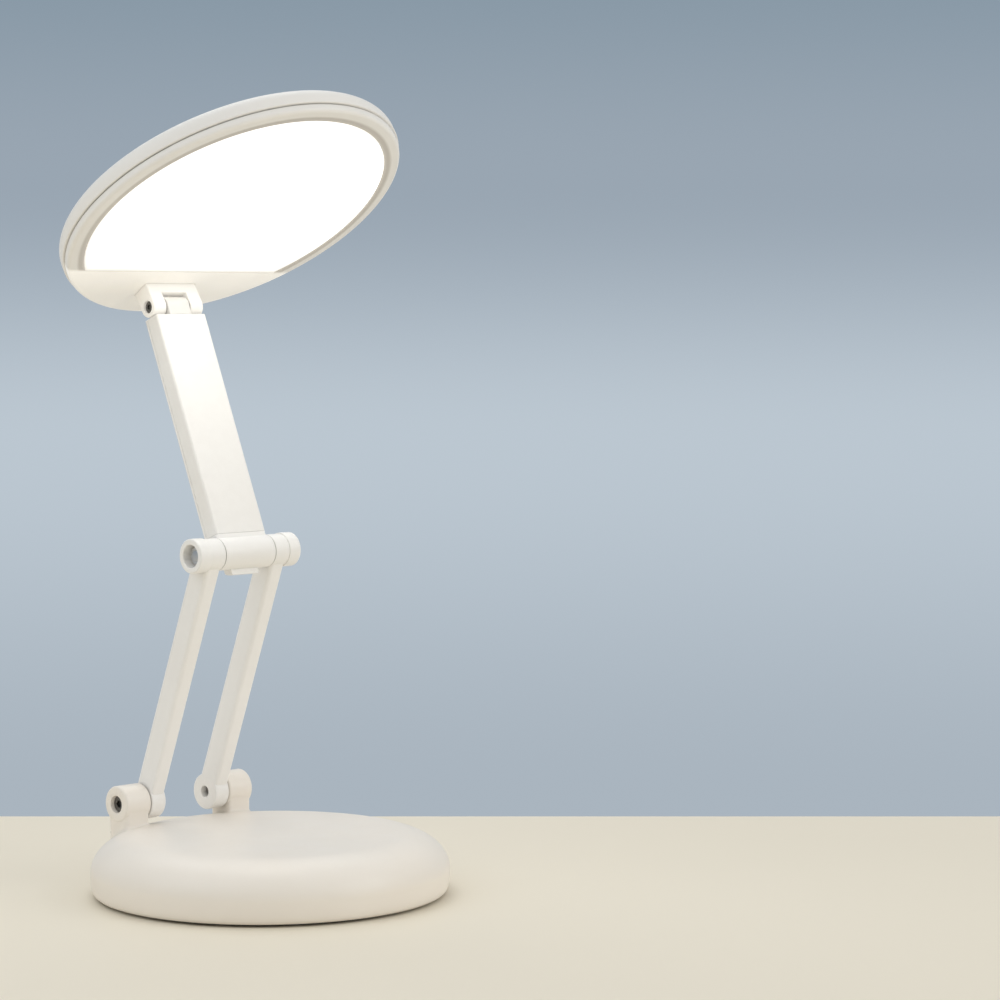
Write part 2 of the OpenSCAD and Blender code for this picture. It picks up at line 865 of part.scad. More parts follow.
module head_front_ring() {
    color(ivory)
        at_head_hinge() {
            difference() {
                translate([0, -head_axis_in, face_z])
                    rotate_extrude($fn = fine)
                        polygon(concat([[0, 0]],
                            arc(ring_r - ring_bevel, ring_bevel, ring_bevel, ring_bevel, -90, 0, 4),
                            [[ring_r, ring_side], [ring_r - ring_wall, ring_side],
                             [ring_r - ring_wall, ring_t], [0, ring_t]]));
                translate([0, 0, face_z - 1]) linear_extrude(ring_t + 2) d_shape(light_r_in, chord_y);
                translate([0, 0, face_z - 1]) linear_extrude(ring_t + 2) hinge_pocket();
            }
            // wall that snaps into the shell
            translate([0, -head_axis_in, face_z + ring_t / 2])
                rotate_extrude($fn = fine)
                    translate([head_r - head_wall - snap_t - seat_gap, 0])
                        square([snap_t, ring_side - ring_t / 2 + slit + snap_h]);
        }
}

module diffuser() {
    color(light_on)
        at_head_hinge()
            translate([0, 0, face_z + 0.1])
                linear_extrude(diffuser_t)
                    d_shape(light_r_in - 0.1, chord_y - 0.1);
}

module light_guide() {
    color(clear_acrylic)
        at_head_hinge()
            translate([0, 0, guide_z]) linear_extrude(guide_t) d_shape(guide_r, guide_chord_y);
}

module reflector_sheet() {
    color(white_film)
        at_head_hinge()
            translate([0, 0, guide_z + guide_t + 0.05])
                linear_extrude(sheet_t) d_shape(guide_r, guide_chord_y);
}

module led_board() {
    y = led_y + led_size[1];
    w = led_count * led_pitch + 4;
    color(pcb_green)
        at_head_hinge()
            box(-w / 2, w / 2, y, y + led_board_t, guide_z, guide_z + guide_t);
}

module leds() {
    color(phosphor_yellow)
        at_head_hinge()
            for (i = [0:led_count - 1])
                translate([(i - (led_count - 1) / 2) * led_pitch, led_y + led_size[1] / 2, led_z])
                    cube(led_size, center = true);
}

// Two cheeks and a web between them, on a plate that is screwed into the back shell. The web
// lies behind the tongue, which turns past it from folded to fully open.
module head_hinge_block() {
    color(ivory)
        at_head_hinge()
            difference() {
                union() {
                    for (side = [0, 1])
                        mirror([side, 0, 0]) {
                            rod_x(cheek_r, cheek_in, cheek_out);
                            box(cheek_in, cheek_out, -cheek_r, cheek_r, 0, plate_z + 0.5);
                        }
                    box(-cheek_out + 1, cheek_out - 1, -cheek_r, cheek_r,
                        arm_t / 2 + joint_gap, plate_z + 0.5);
                    box(-plate_hw, plate_hw, -plate_front, plate_rear, plate_z, plate_z + plate_t);
                }
                rod_x(head_pin_r, -cheek_out - 1, cheek_out + 1);
                for (side = [0, 1])
                    mirror([side, 0, 0]) {
                        rod_x(head_pin_sink_r, cheek_out - head_pin_sink, cheek_out + 1);
                        rod_x(head_washer_r + 0.1, cheek_in - 1, cheek_in + washer_t / 2);
                    }
                for (x = [-block_screw_x, block_screw_x])
                    translate([x, 0, plate_z - 1]) cylinder(r = screw_r + 0.2, h = plate_t + 2, $fn = mid);
                // way for the wire, through the web and the plate
                cylinder(r = wire_r + 0.4, h = plate_z + plate_t + 1, $fn = mid);
            }
}

module head_hinge_pin() {
    end_x = cheek_out - head_pin_sink;
    color(steel)
        at_head_hinge()
            difference() {
                union() {
                    rod_x(head_pin_r - 0.01, -end_x - 0.1, end_x + 0.6, 0.2);
                    rod_x(head_pin_sink_r - 0.15, -end_x - 0.9, -end_x, 0.15);
                }
                translate([-end_x - 1.5, 0, 0]) rotate([0, 90, 0]) cylinder(r = 1, h = 1.1, $fn = 6);
            }
}

module head_hinge_washers() {
    color(steel)
        at_head_hinge()
            for (side = [0, 1])
                mirror([side, 0, 0])
                    ring_x(head_washer_r, head_pin_r + run_gap, cheek_in - washer_out,
                           cheek_in + washer_t / 2);
}

module hinge_block_screws() {
    color(steel)
        at_head_hinge()
            for (x = [-block_screw_x, block_screw_x])
                translate([x, 0, plate_z - screw_head_t / 2]) {
                    cylinder(r = screw_head_r - 0.2, h = screw_head_t / 2, $fn = mid);
                    cylinder(r = screw_r - 0.02, h = plate_t + plate_screw_bite, $fn = mid);
                }
}

module head_wire() {
    color(wire_white)
        at_head_hinge()
            translate([0, 0, plate_z + 0.2]) cylinder(r = wire_r, h = plate_t, $fn = 24);
}

base_top_shell();
base_bottom_cover();
foot_ring();
counterweight();
battery_pack();
battery_leads();
control_board();
board_screws();
usb_c_socket();
charge_light();
tact_switches();
base_screws();
base_hinge_screws();
base_hinge_washers();
base_wire();
power_button();
brightness_button();
left_leg();
right_leg();
left_leg_cover();
right_leg_cover();
leg_wire();
left_elbow_cap();
right_elbow_cap();
elbow_shaft();
elbow_nuts();
elbow_washers();
elbow_knuckle();
upper_arm_front();
upper_arm_back();
arm_screws();
arm_wire();
head_tongue();
head_back_shell();
head_front_ring();
diffuser();
light_guide();
reflector_sheet();
led_board();
leds();
head_hinge_block();
head_hinge_pin();
head_hinge_washers();
hinge_block_screws();
head_wire();
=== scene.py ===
import json
import math

import bpy
from mathutils import Matrix, Vector


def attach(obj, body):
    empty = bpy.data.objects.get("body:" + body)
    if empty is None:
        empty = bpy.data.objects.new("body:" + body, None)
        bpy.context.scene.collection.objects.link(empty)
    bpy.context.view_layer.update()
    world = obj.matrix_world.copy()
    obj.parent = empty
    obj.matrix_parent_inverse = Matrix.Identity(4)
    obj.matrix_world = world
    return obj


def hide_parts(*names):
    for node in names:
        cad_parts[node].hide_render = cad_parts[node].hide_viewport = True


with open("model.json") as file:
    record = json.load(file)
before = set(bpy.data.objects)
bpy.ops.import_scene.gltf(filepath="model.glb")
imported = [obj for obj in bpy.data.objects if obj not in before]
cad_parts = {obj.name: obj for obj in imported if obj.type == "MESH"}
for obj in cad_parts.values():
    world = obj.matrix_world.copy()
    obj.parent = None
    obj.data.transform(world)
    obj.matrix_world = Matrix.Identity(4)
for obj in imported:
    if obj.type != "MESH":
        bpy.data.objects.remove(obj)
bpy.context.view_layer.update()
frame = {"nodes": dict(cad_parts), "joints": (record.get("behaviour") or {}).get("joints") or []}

node = frame["nodes"]


# ---------- View, table and light ----------
# The lamp stands on a plain cream table in front of a pale grey-blue room.
# The camera stands 1 m away, in front and to the left, a little above the elbow,
# and looks slightly down.

mm = 0.001
lamp_azimuth = math.radians(41.12)
camera_distance = 1.00879
camera_height = 0.19591
camera_pitch = math.radians(3.65)
camera_yaw = math.radians(4.36)
camera_lens = 109.21
sensor_w = 36

to_lamp = Vector((math.sin(lamp_azimuth), math.cos(lamp_azimuth), 0))
level_look = Matrix.Rotation(-camera_yaw, 3, "Z") @ to_lamp
right = Vector((level_look.y, -level_look.x, 0))
look = level_look * math.cos(camera_pitch) + Vector((0, 0, -math.sin(camera_pitch)))
up = right.cross(look)
camera_place = Vector((-to_lamp.x * camera_distance, -to_lamp.y * camera_distance, camera_height))


def shift(x=0.0, y=0.0, z=0.0):
    return Matrix.Translation((x, y, z))


def turn(degrees, axis):
    return Matrix.Rotation(math.radians(degrees), 4, axis)


bpy.ops.object.camera_add()
camera = bpy.context.object
camera.data.lens = camera_lens
camera.data.sensor_width = sensor_w
camera.data.clip_start = 10 * mm
camera.matrix_world = shift(*camera_place) @ Matrix((right, up, -look)).transposed().to_4x4()
bpy.context.scene.camera = camera
bpy.context.scene.view_settings.view_transform = "Standard"


def new_material(name):
    material = bpy.data.materials.new(name)
    material.use_nodes = True
    tree = material.node_tree
    return material, tree, tree.nodes["Principled BSDF"]


# Gives each input of a node its value, or links it to another node's output
def feed(tree, target, inputs):
    for key, value in inputs.items():
        if isinstance(value, bpy.types.NodeSocket):
            tree.links.new(value, target.inputs[key])
        else:
            target.inputs[key].default_value = value


def add_node(tree, kind, inputs=None, **settings):
    made = tree.nodes.new(kind)
    for key, value in settings.items():
        setattr(made, key, value)
    feed(tree, made, inputs or {})
    return made


def maths(tree, operation, *values):
    return add_node(tree, "ShaderNodeMath", dict(enumerate(values)), operation=operation).outputs[0]


def map_range(tree, source, low, high, to_low=0.0, to_high=1.0):
    inputs = {"Value": source, "From Min": low, "From Max": high, "To Min": to_low, "To Max": to_high}
    return add_node(tree, "ShaderNodeMapRange", inputs).outputs["Result"]


# A noise with its scale in cells per metre of the piece
def noise(tree, **inputs):
    inputs["Vector"] = add_node(tree, "ShaderNodeTexCoord").outputs["Object"]
    return add_node(tree, "ShaderNodeTexNoise", inputs).outputs["Fac"]


def bump(tree, height, strength, depth, **settings):
    inputs = {"Height": height, "Strength": strength, "Distance": depth}
    return add_node(tree, "ShaderNodeBump", inputs, **settings).outputs["Normal"]


# The table ends a hand's width behind the lamp, square to the camera's view.
table_w = 2.56
table_l = 1.6
table_t = 0.03
table_behind = 0.152
view_turn = math.atan2(-level_look.x, level_look.y)
bpy.ops.object.select_all(action="DESELECT")
bpy.ops.mesh.primitive_cube_add(size=1)
table = bpy.context.object
table.name = "table"
table.data.transform(Matrix.Diagonal((table_w, table_l, table_t, 1)))
table.data.transform(shift(y=table_behind - table_l / 2, z=-table_t / 2))
table.data.transform(Matrix.Rotation(view_turn, 4, "Z"))

table_top, tree, skin = new_material("cream_table_top")
feed(tree, skin, {"Base Color": (0.81, 0.75, 0.625, 1), "Roughness": 0.6, "Specular IOR Level": 0.3,
                  "Normal": bump(tree, noise(tree, Scale=900, Detail=4), 0.06, 0.2 * mm)})
table.data.materials.append(table_top)

# The room: what the camera, gloss and clear plastic see is pale grey-blue, darker overhead, and its
# light is neutral.
world = bpy.data.worlds.new("pale_room")
bpy.context.scene.world = world
world.use_nodes = True
tree = world.node_tree
room = tree.nodes["Background"]
feed(tree, room, {"Color": (1.0, 0.998, 0.99, 1), "Strength": 0.67})
coords = add_node(tree, "ShaderNodeTexCoord")
split = add_node(tree, "ShaderNodeSeparateXYZ", {0: coords.outputs["Generated"]})
shade = add_node(tree, "ShaderNodeValToRGB", {"Fac": map_range(tree, split.outputs["Z"], -0.16, 0.12)})
shade.color_ramp.interpolation = "EASE"
room_tones = ((0.0, (0.40, 0.46, 0.52)), (0.42, (0.50, 0.57, 0.635)), (0.72, (0.32, 0.38, 0.445)),
              (1.0, (0.24, 0.31, 0.375)))
for i, (at, tone) in enumerate(room_tones):
    stop = shade.color_ramp.elements[i] if i < 2 else shade.color_ramp.elements.new(at)
    stop.position = at
    stop.color = (*tone, 1)
seen = add_node(tree, "ShaderNodeBackground", {"Color": shade.outputs["Color"], "Strength": 1.0})
path = add_node(tree, "ShaderNodeLightPath")
is_seen = maths(tree, "MAXIMUM", path.outputs["Is Camera Ray"], path.outputs["Is Glossy Ray"])
is_seen = maths(tree, "MAXIMUM", is_seen, path.outputs["Is Transmission Ray"])
mix = add_node(tree, "ShaderNodeMixShader", {0: is_seen, 1: room.outputs[0], 2: seen.outputs[0]})
feed(tree, tree.nodes["World Output"], {"Surface": mix.outputs[0]})

# Three large soft boxes add a little shape to the room's even light: one behind the lamp for the tops,
# one on the left for the sides that face left, and one in front on the right for the faces.
lit_middle = Vector((0, 0, 0.1))


def soft_box(name, spot, size, watts, colour):
    bpy.ops.object.light_add(type="AREA", location=spot)
    light = bpy.context.object
    light.name = name
    light.data.shape = "SQUARE"
    light.data.size = size
    light.data.energy = watts
    light.data.color = colour
    light.rotation_euler = (lit_middle - Vector(spot)).to_track_quat("-Z", "Y").to_euler()


soft_box("rear_soft_box", (0.35, 0.6, 1.2), 0.9, 3.4, (1.0, 1.0, 1.0))
soft_box("left_soft_box", (-1.0, 0.3, 0.9), 0.9, 2.6, (0.86, 0.93, 1.0))
soft_box("front_soft_box", (0.7, -1.3, 0.75), 1.0, 5.4, (1.0, 0.995, 0.98))


# ---------- Base shell ----------
# The round top of the base, injection-moulded in warm white ABS with a fine matt grain. Its rim is a
# soft quarter ellipse, and two lugs for the lower arm stand on its rear shoulder. Four screws from
# below hold it to the bottom cover.

base_r = 60 * mm
base_h = 20 * mm
base_flat_r = 44 * mm
base_edge_r = 58.7 * mm
belly_z = 8 * mm
foot_h = 1 * mm
base_wall = 1.8 * mm
base_rim = 0.3 * mm

hinge = {j["name"]: Vector(j["pos_m"]) for j in frame["joints"] if "pos_m" in j}
hinge_y = hinge["base_hinge"].y
hinge_z = hinge["base_hinge"].z
lug_r = 6.2 * mm
lug_in = 17.4 * mm
lug_out = 27.8 * mm
lug_edge = 0.8 * mm
pin_r = 2 * mm
screw_seat_r = 3 * mm
screw_seat = 2.8 * mm

# Points closer than these are one point, in a new piece and after a cut. Cutting tools reach over the
# piece, and edges flatter than 32 degrees are shaded smooth.
same_point = 0.001 * mm
cut_gap = 0.003 * mm
over = 1 * mm
smooth_below = 32


def enter(mode):
    bpy.ops.object.mode_set(mode=mode)


def select_mesh():
    bpy.ops.mesh.select_all(action="SELECT")


def deselect():
    if bpy.context.object and bpy.context.object.mode != "OBJECT":
        enter("OBJECT")
    bpy.ops.object.select_all(action="DESELECT")


def pick(piece):
    deselect()
    bpy.context.view_layer.objects.active = piece
    piece.select_set(True)


# Ends the editing of a piece with all its faces turned outward
def faces_out():
    select_mesh()
    bpy.ops.mesh.normals_make_consistent(inside=False)
    enter("OBJECT")


# Traces a half section in the XZ plane point by point, and spins it round the Z axis.
def turned(name, section, steps):
    deselect()
    bpy.ops.mesh.primitive_plane_add(size=1)
    piece = bpy.context.object
    piece.name = name
    points = [Vector((x, 0, z)) for x, z in section]
    enter("EDIT")
    bpy.ops.mesh.select_mode(type="VERT")
    select_mesh()
    bpy.ops.mesh.merge(type="CENTER")
    bpy.ops.transform.translate(value=points[0])
    for before, after in zip(points, points[1:]):
        bpy.ops.mesh.extrude_vertices_move(TRANSFORM_OT_translate={"value": after - before})
    select_mesh()
    bpy.ops.mesh.spin(steps=steps, angle=math.tau, center=(0, 0, 0), axis=(0, 0, 1))
    select_mesh()
    bpy.ops.mesh.remove_doubles(threshold=same_point)
    bpy.ops.mesh.dissolve_degenerate(threshold=same_point)
    faces_out()
    return piece


# Points on an ellipse's arc, from angle a0 to a1 in degrees
def arc(cx, cz, rx, rz, a0, a1, count):
    turns = [math.radians(a0 + (a1 - a0) * i / count) for i in range(count + 1)]
    return [(cx + rx * math.cos(t), cz + rz * math.sin(t)) for t in turns]


# Half section of a plain rod from z0 to z1 with rounded rims
def rod_section(r, z0, z1, edge=0.0):
    if edge == 0:
        return [(0, z0), (r, z0), (r, z1), (0, z1)]
    low = arc(r - edge, z0 + edge, edge, edge, -90, 0, 4)
    high = arc(r - edge, z1 - edge, edge, edge, 0, 90, 4)
    return [(0, z0)] + low + high + [(0, z1)]


along_x = turn(90, "Y")
along_y = turn(-90, "X")


def place(piece, *matrices):
    for matrix in reversed(matrices):
        piece.data.transform(matrix)
    return piece


# A round rod along X
def rod_x(name, r, x0, x1, edge=0.0, steps=64):
    return place(turned(name, rod_section(r, x0, x1, edge), steps), along_x)


# The two ends of a stretch from a to b on the left (-1) or the right (1), in rising order
def span(side, a, b):
    return sorted((side * a, side * b))


def all_edges(a, b):
    return True


# A bar between two corners, whose chosen edges are rounded
def bar(name, low, high, edge=0.0, chosen=all_edges, count=4):
    deselect()
    low = Vector(low)
    high = Vector(high)
    bpy.ops.mesh.primitive_cube_add(size=1)
    piece = bpy.context.object
    piece.name = name
    place(piece, shift(*(low + high) / 2), Matrix.Diagonal((*(high - low), 1)))
    if edge:
        pick_edges(piece, chosen)
        bpy.ops.mesh.bevel(offset=edge, segments=count, profile=0.5, affect="EDGES")
        enter("OBJECT")
    return piece


# Selects the edges that pass a test of their two ends, and opens the piece in edit mode
def pick_edges(piece, test):
    pick(piece)
    enter("EDIT")
    bpy.ops.mesh.select_mode(type="EDGE")
    bpy.ops.mesh.select_all(action="DESELECT")
    enter("OBJECT")
    points = piece.data.vertices
    for edge in piece.data.edges:
        a, b = edge.vertices
        edge.select = test(points[a].co, points[b].co)
    enter("EDIT")


def apply_modifier(piece, kind, **settings):
    pick(piece)
    modifier = piece.modifiers.new(kind.lower(), kind)
    for key, value in settings.items():
        setattr(modifier, key, value)
    bpy.ops.object.modifier_apply(modifier=modifier.name)
    return piece


# Joins or cuts a piece with another, and merges the points that this leaves a hair apart
def combine(piece, part, operation):
    apply_modifier(piece, "BOOLEAN", operation=operation, solver="EXACT", object=part)
    bpy.data.objects.remove(part)
    pick(piece)
    enter("EDIT")
    bpy.ops.mesh.select_mode(type="VERT")
    select_mesh()
    bpy.ops.mesh.remove_doubles(threshold=cut_gap)
    bpy.ops.mesh.dissolve_degenerate(threshold=cut_gap)
    enter("OBJECT")


def weld_on(piece, *parts):
    for part in parts:
        combine(piece, part, "UNION")
    return piece


def cut_out(piece, *tools):
    for tool in tools:
        combine(piece, tool, "DIFFERENCE")
    return piece


def round_edges(piece, width, count=3, angle=50):
    return apply_modifier(piece, "BEVEL", width=width, segments=count, limit_method="ANGLE",
                          angle_limit=math.radians(angle), use_clamp_overlap=True)


# Smooths the piece, and puts it on its body with its finish
def finish_piece(piece, body, finish, stands_for=()):
    pick(piece)
    bpy.ops.object.shade_smooth_by_angle(angle=math.radians(smooth_below))
    piece.data.materials.clear()
    piece.data.materials.append(finish)
    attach(piece, body)
    if stands_for:
        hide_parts(*stands_for)
    return piece


# Height of the base's outside at a distance from its middle
def dome_z(r):
    reach = min(max(r - base_flat_r, 0) / (base_r - base_flat_r), 0.999)
    return belly_z + (base_h - belly_z) * math.sqrt(1 - reach * reach)


shell_out = [(0, foot_h), (base_edge_r - base_rim, foot_h)]
shell_out += arc(base_edge_r - 0.02 * mm, belly_z, base_r - base_edge_r, belly_z - foot_h - base_rim,
                 -90, 0, 8)
shell_out += arc(base_flat_r, belly_z, base_r - base_flat_r, base_h - belly_z, 3, 90, 30)
shell_out += [(base_flat_r * part, base_h) for part in (0.66, 0.33, 0)]
base_shell = turned("base_shell", shell_out, 160)

# Each lug is a short rod on a foot that flares into the base's shoulder.
foot_front = 5.6 * mm
foot_rear = 4.8 * mm
foot_inset = 0.3 * mm
foot_depth = 0.9 * mm
foot_flare = 0.9 * mm
foot_rise = 1.3 * mm
foot_squareness = 7
foot_count = 72


def lug_foot(side):
    centre_x = side * (lug_in + lug_out) / 2
    half_w = (lug_out - lug_in) / 2 - foot_inset
    centre_y = hinge_y + (foot_rear - foot_front) / 2
    half_l = (foot_front + foot_rear) / 2
    deselect()
    bpy.ops.mesh.primitive_circle_add(vertices=foot_count, radius=1, fill_type="NGON")
    foot = bpy.context.object
    outline = [v.co.copy() for v in foot.data.vertices]
    levels = [(foot_rise * (1 - math.cos(t)), foot_flare * (1 - math.sin(t)))
              for t in (math.radians(a) for a in range(0, 91, 15))]

    def square_off(value):
        return math.copysign(abs(value) ** (2 / foot_squareness), value)

    def lay_ring(ring, rise, flare, level=None):
        for vertex, start in zip(ring, outline):
            x = centre_x + square_off(start.x) * (half_w + flare)
            y = centre_y + square_off(start.y) * (half_l + flare)
            vertex.co = (x, y, level if level else dome_z(math.hypot(x, y)) + rise)

    lay_ring(foot.data.vertices, -foot_depth, foot_flare)
    for rise, flare in levels + [(0, 0)]:
        enter("EDIT")
        bpy.ops.mesh.extrude_region_move()
        enter("OBJECT")
        ring = sorted((v for v in foot.data.vertices if v.select), key=lambda v: v.index)
        lay_ring(ring, rise, flare, None if flare or rise else hinge_z)
    enter("EDIT")
    faces_out()
    return foot


at_lugs = shift(y=hinge_y, z=hinge_z)
for side in (-1, 1):
    lug = place(rod_x("lug", lug_r, *span(side, lug_in, lug_out), lug_edge), at_lugs)
    weld_on(lug, lug_foot(side))
    cut_out(lug, place(rod_x("bore", pin_r, *span(side, lug_in - over, lug_out + over)), at_lugs),
            place(rod_x("seat", screw_seat_r, *span(side, lug_out - screw_seat, lug_out + over)), at_lugs))
    weld_on(base_shell, lug)

hollow = [(0, foot_h - over), (base_edge_r - base_wall, foot_h - over)]
hollow += arc(base_flat_r, belly_z, base_r - base_flat_r - base_wall, base_h - belly_z - base_wall, 0, 90, 16)
hollow += [(0, base_h - base_wall)]
cut_out(base_shell, turned("hollow", hollow, 160))

# Openings in the rear wall for the charging socket, the two buttons and the charge light
control_z = 7.43 * mm
button_x = 13 * mm
button_r = 2.8 * mm
socket_w = 8.94 * mm
socket_h = 3.26 * mm
light_x = 7.2 * mm
light_r = 0.9 * mm
fit = 0.2 * mm
rear_tool_y = base_r - 8 * mm


# A tool with round ends for a slot along Y
def slot_tool(w, h, y0, y1):
    half = h / 2
    return bar("slot", (-w / 2, y0, -half), (w / 2, y1, half), half * 0.999,
               lambda a, b: abs(a.y - b.y) > 1 * mm, 10)


at_controls = shift(z=control_z)
slot = slot_tool(socket_w + 2 * fit, socket_h + 2 * fit, rear_tool_y, base_r + over)
cut_out(base_shell, place(slot, at_controls))
for x, r in ((-button_x, button_r + fit), (button_x, button_r + fit), (light_x, light_r)):
    hole = turned("hole", rod_section(r, rear_tool_y, base_r + 2 * over), 48)
    cut_out(base_shell, place(hole, at_controls, shift(x), along_y))
round_edges(base_shell, 0.12 * mm, 2)


# Effects that several finishes share
def effect(name, ins, outs):
    group = bpy.data.node_groups.new(name, "ShaderNodeTree")
    for label, value in ins:
        socket = group.interface.new_socket(label, in_out="INPUT", socket_type="NodeSocketFloat")
        socket.default_value = value
    for label in outs:
        group.interface.new_socket(label, in_out="OUTPUT", socket_type="NodeSocketFloat")
    return group, add_node(group, "NodeGroupInput").outputs, add_node(group, "NodeGroupOutput")


def use_effect(tree, group, **values):
    inputs = {key.replace("_", " "): value for key, value in values.items()}
    return add_node(tree, "ShaderNodeGroup", inputs, node_tree=group).outputs


# The skin of a moulded piece: a fine spark-eroded grain, slow changes of tone from the mould's flow, and
# patches of slightly higher gloss
moulded_skin, taken, given = effect("moulded_skin", [("Grain Scale", 2400), ("Tone Scale", 26)],
                                    ["Grain", "Tone", "Gloss"])
feed(moulded_skin, given, {
    "Grain": noise(moulded_skin, Scale=taken["Grain Scale"], Detail=3, Roughness=0.55),
    "Tone": noise(moulded_skin, Scale=taken["Tone Scale"], Detail=2, Roughness=0.55),
    "Gloss": noise(moulded_skin, Scale=110, Detail=4, Distortion=0.6)})

# Wear: edges that hands rub smooth, broken up by a noise
edge_wear, taken, given = effect("edge_wear", [("Start", 0.515), ("Full", 0.58), ("Breakup", 320)], ["Worn"])
form = add_node(edge_wear, "ShaderNodeNewGeometry").outputs
worn = map_range(edge_wear, form["Pointiness"], taken["Start"], taken["Full"])
broken = map_range(edge_wear, noise(edge_wear, Scale=taken["Breakup"], Detail=3), 0.4, 0.6)
feed(edge_wear, given, {"Worn": maths(edge_wear, "MULTIPLY", worn, broken)})

# Dust that settles on faces that look up, and painted shade that darkens narrow corners by their ambient
# occlusion
dust_and_corner_shade, taken, given = effect("dust_and_corner_shade", [("Reach", 1.5 * mm), ("Dust Scale", 700)],
                                    ["Dust", "Corner Shade"])
form = add_node(dust_and_corner_shade, "ShaderNodeNewGeometry").outputs
split = add_node(dust_and_corner_shade, "ShaderNodeSeparateXYZ", {0: form["Normal"]})
level = map_range(dust_and_corner_shade, split.outputs["Z"], 0.6, 1)
specks = noise(dust_and_corner_shade, Scale=taken["Dust Scale"], Detail=6, Roughness=0.7)
dust = maths(dust_and_corner_shade, "MULTIPLY", level, map_range(dust_and_corner_shade, specks, 0.5, 0.72))
corner = add_node(dust_and_corner_shade, "ShaderNodeAmbientOcclusion", {"Distance": taken["Reach"]}, samples=6)
corner_shade = map_range(dust_and_corner_shade, corner.outputs["AO"], 0.75, 0.2)
feed(dust_and_corner_shade, given, {"Dust": dust, "Corner Shade": corner_shade})


# Mixes two colours, which are values or another node's output
def blend_colour(tree, amount, first, second, strength=1.0):
    a, b = ((*colour, 1) if isinstance(colour, tuple) else colour for colour in (first, second))
    inputs = {"Factor": map_range(tree, amount, 0, 1, 0, strength), "A": a, "B": b}
    return add_node(tree, "ShaderNodeMix", inputs, data_type="RGBA").outputs["Result"]


# A colour that goes over into another with the tone of a surface
def two_tone(tree, surface, first, second, low=0.3, high=0.7):
    return blend_colour(tree, map_range(tree, surface["Tone"], low, high), first, second)


# A roughness between two values with the gloss of a surface
def gloss_range(tree, surface, rough_low, rough_high):
    return map_range(tree, surface["Gloss"], 0.3, 0.7, rough_low, rough_high)


# A moulded plastic finish: its colour, the tone that it drifts to, and its roughness
def moulded_finish(name, colour, drift, rough_low, rough_high, grain=2400, grain_depth=0.02 * mm, dust_and_shade=1.0):
    material, tree, skin = new_material(name)
    surface = use_effect(tree, moulded_skin, Grain_Scale=grain)
    worn = use_effect(tree, edge_wear)["Worn"]
    dust_and_shade_masks = use_effect(tree, dust_and_corner_shade)
    corner_shade_tone = tuple(c * 0.5 for c in drift)
    lighter = tuple(min(c * 1.05, 0.95) for c in colour)
    shown = two_tone(tree, surface, colour, drift, 0.35, 0.65)
    shown = blend_colour(tree, dust_and_shade_masks["Dust"], shown, (0.62, 0.60, 0.56), 0.10 * dust_and_shade)
    # Painted shade: narrow corners darken towards half the drift tone, by ambient occlusion.
    shown = blend_colour(tree, dust_and_shade_masks["Corner Shade"], shown, corner_shade_tone, 0.45 * dust_and_shade)
    shown = blend_colour(tree, worn, shown, lighter, 0.5)
    rough = maths(tree, "MULTIPLY_ADD", worn, -0.12, gloss_range(tree, surface, rough_low, rough_high))
    feed(tree, skin, {"Base Color": shown, "Roughness": rough,
                      "Normal": bump(tree, surface["Grain"], 0.35, grain_depth)})
    return material


ivory = (0.885, 0.87, 0.838)
ivory_drift = (0.87, 0.85, 0.813)
# Painted light: the base's plastic is drawn warmer than the arm's, for the warm light that the table throws
# back onto it.
ivory_warmed_by_bounce = (0.865, 0.812, 0.735)
drift_warmed_by_bounce = (0.85, 0.793, 0.712)
ivory_plastic = moulded_finish("ivory_moulded_plastic", ivory, ivory_drift, 0.36, 0.46)
base_plastic = moulded_finish("warm_ivory_base_plastic", ivory_warmed_by_bounce, drift_warmed_by_bounce, 0.36, 0.46)
finish_piece(base_shell, "base", base_plastic, ["base_top_shell"])


def finish_ivory(piece, body, name):
    finish_piece(piece, body, ivory_plastic, [name])


# ---------- Bottom cover, foot ring and screws ----------
# A flat moulded plate closes the base. A soft rubber ring in a groove under it keeps the lamp from
# sliding, and four small steel screws with hexagon sockets hold it to the shell.

cover_r = 56.7 * mm
cover_t = 2 * mm
cover_edge = 0.3 * mm
panel_r = 30 * mm
panel_rise = 0.4 * mm
foot_r = 55.5 * mm
foot_w = 5 * mm
foot_seat = 0.6 * mm
boss_at = 46.4 * mm
screw_r = 1 * mm
screw_head_r = 2 * mm
sink_z = foot_h + 1.2 * mm
sink_end = 4 * mm
post_r = 2.2 * mm
post_x = 17 * mm
post_y = 46.2 * mm
board_z = 4.2 * mm
board_t = 1.6 * mm


# A tool for a screw's hole with a wider seat for its head, from z0 through z1 to z2
def sink_tool(head_r, z0, z1, z2):
    hole_r = screw_r + fit
    return turned("sink", [(0, z0), (head_r, z0), (head_r, z1), (hole_r, z1), (hole_r, z2), (0, z2)], 32)


cover_out = [(0, foot_h + panel_rise), (panel_r, foot_h + panel_rise), (panel_r + panel_rise, foot_h),
             (foot_r - foot_w, foot_h), (foot_r - foot_w, foot_h + foot_seat), (foot_r, foot_h + foot_seat),
             (foot_r, foot_h), (cover_r - cover_edge, foot_h), (cover_r, foot_h + cover_edge),
             (cover_r, foot_h + cover_t), (0, foot_h + cover_t)]
bottom_cover = turned("bottom_cover", cover_out, 128)
for x in (-post_x, post_x):
    post = turned("post", rod_section(post_r, foot_h + cover_t / 2, board_z), 32)
    weld_on(bottom_cover, place(post, shift(x, post_y)))
boss_places = [turn(a, "Z") @ shift(boss_at) for a in (45, 135, 225, 315)]
for boss in boss_places:
    cut_out(bottom_cover, place(sink_tool(screw_head_r + fit, 0, sink_z, sink_end), boss))
round_edges(bottom_cover, 0.12 * mm, 2, 35)
finish_piece(bottom_cover, "base", base_plastic, ["base_bottom_cover"])

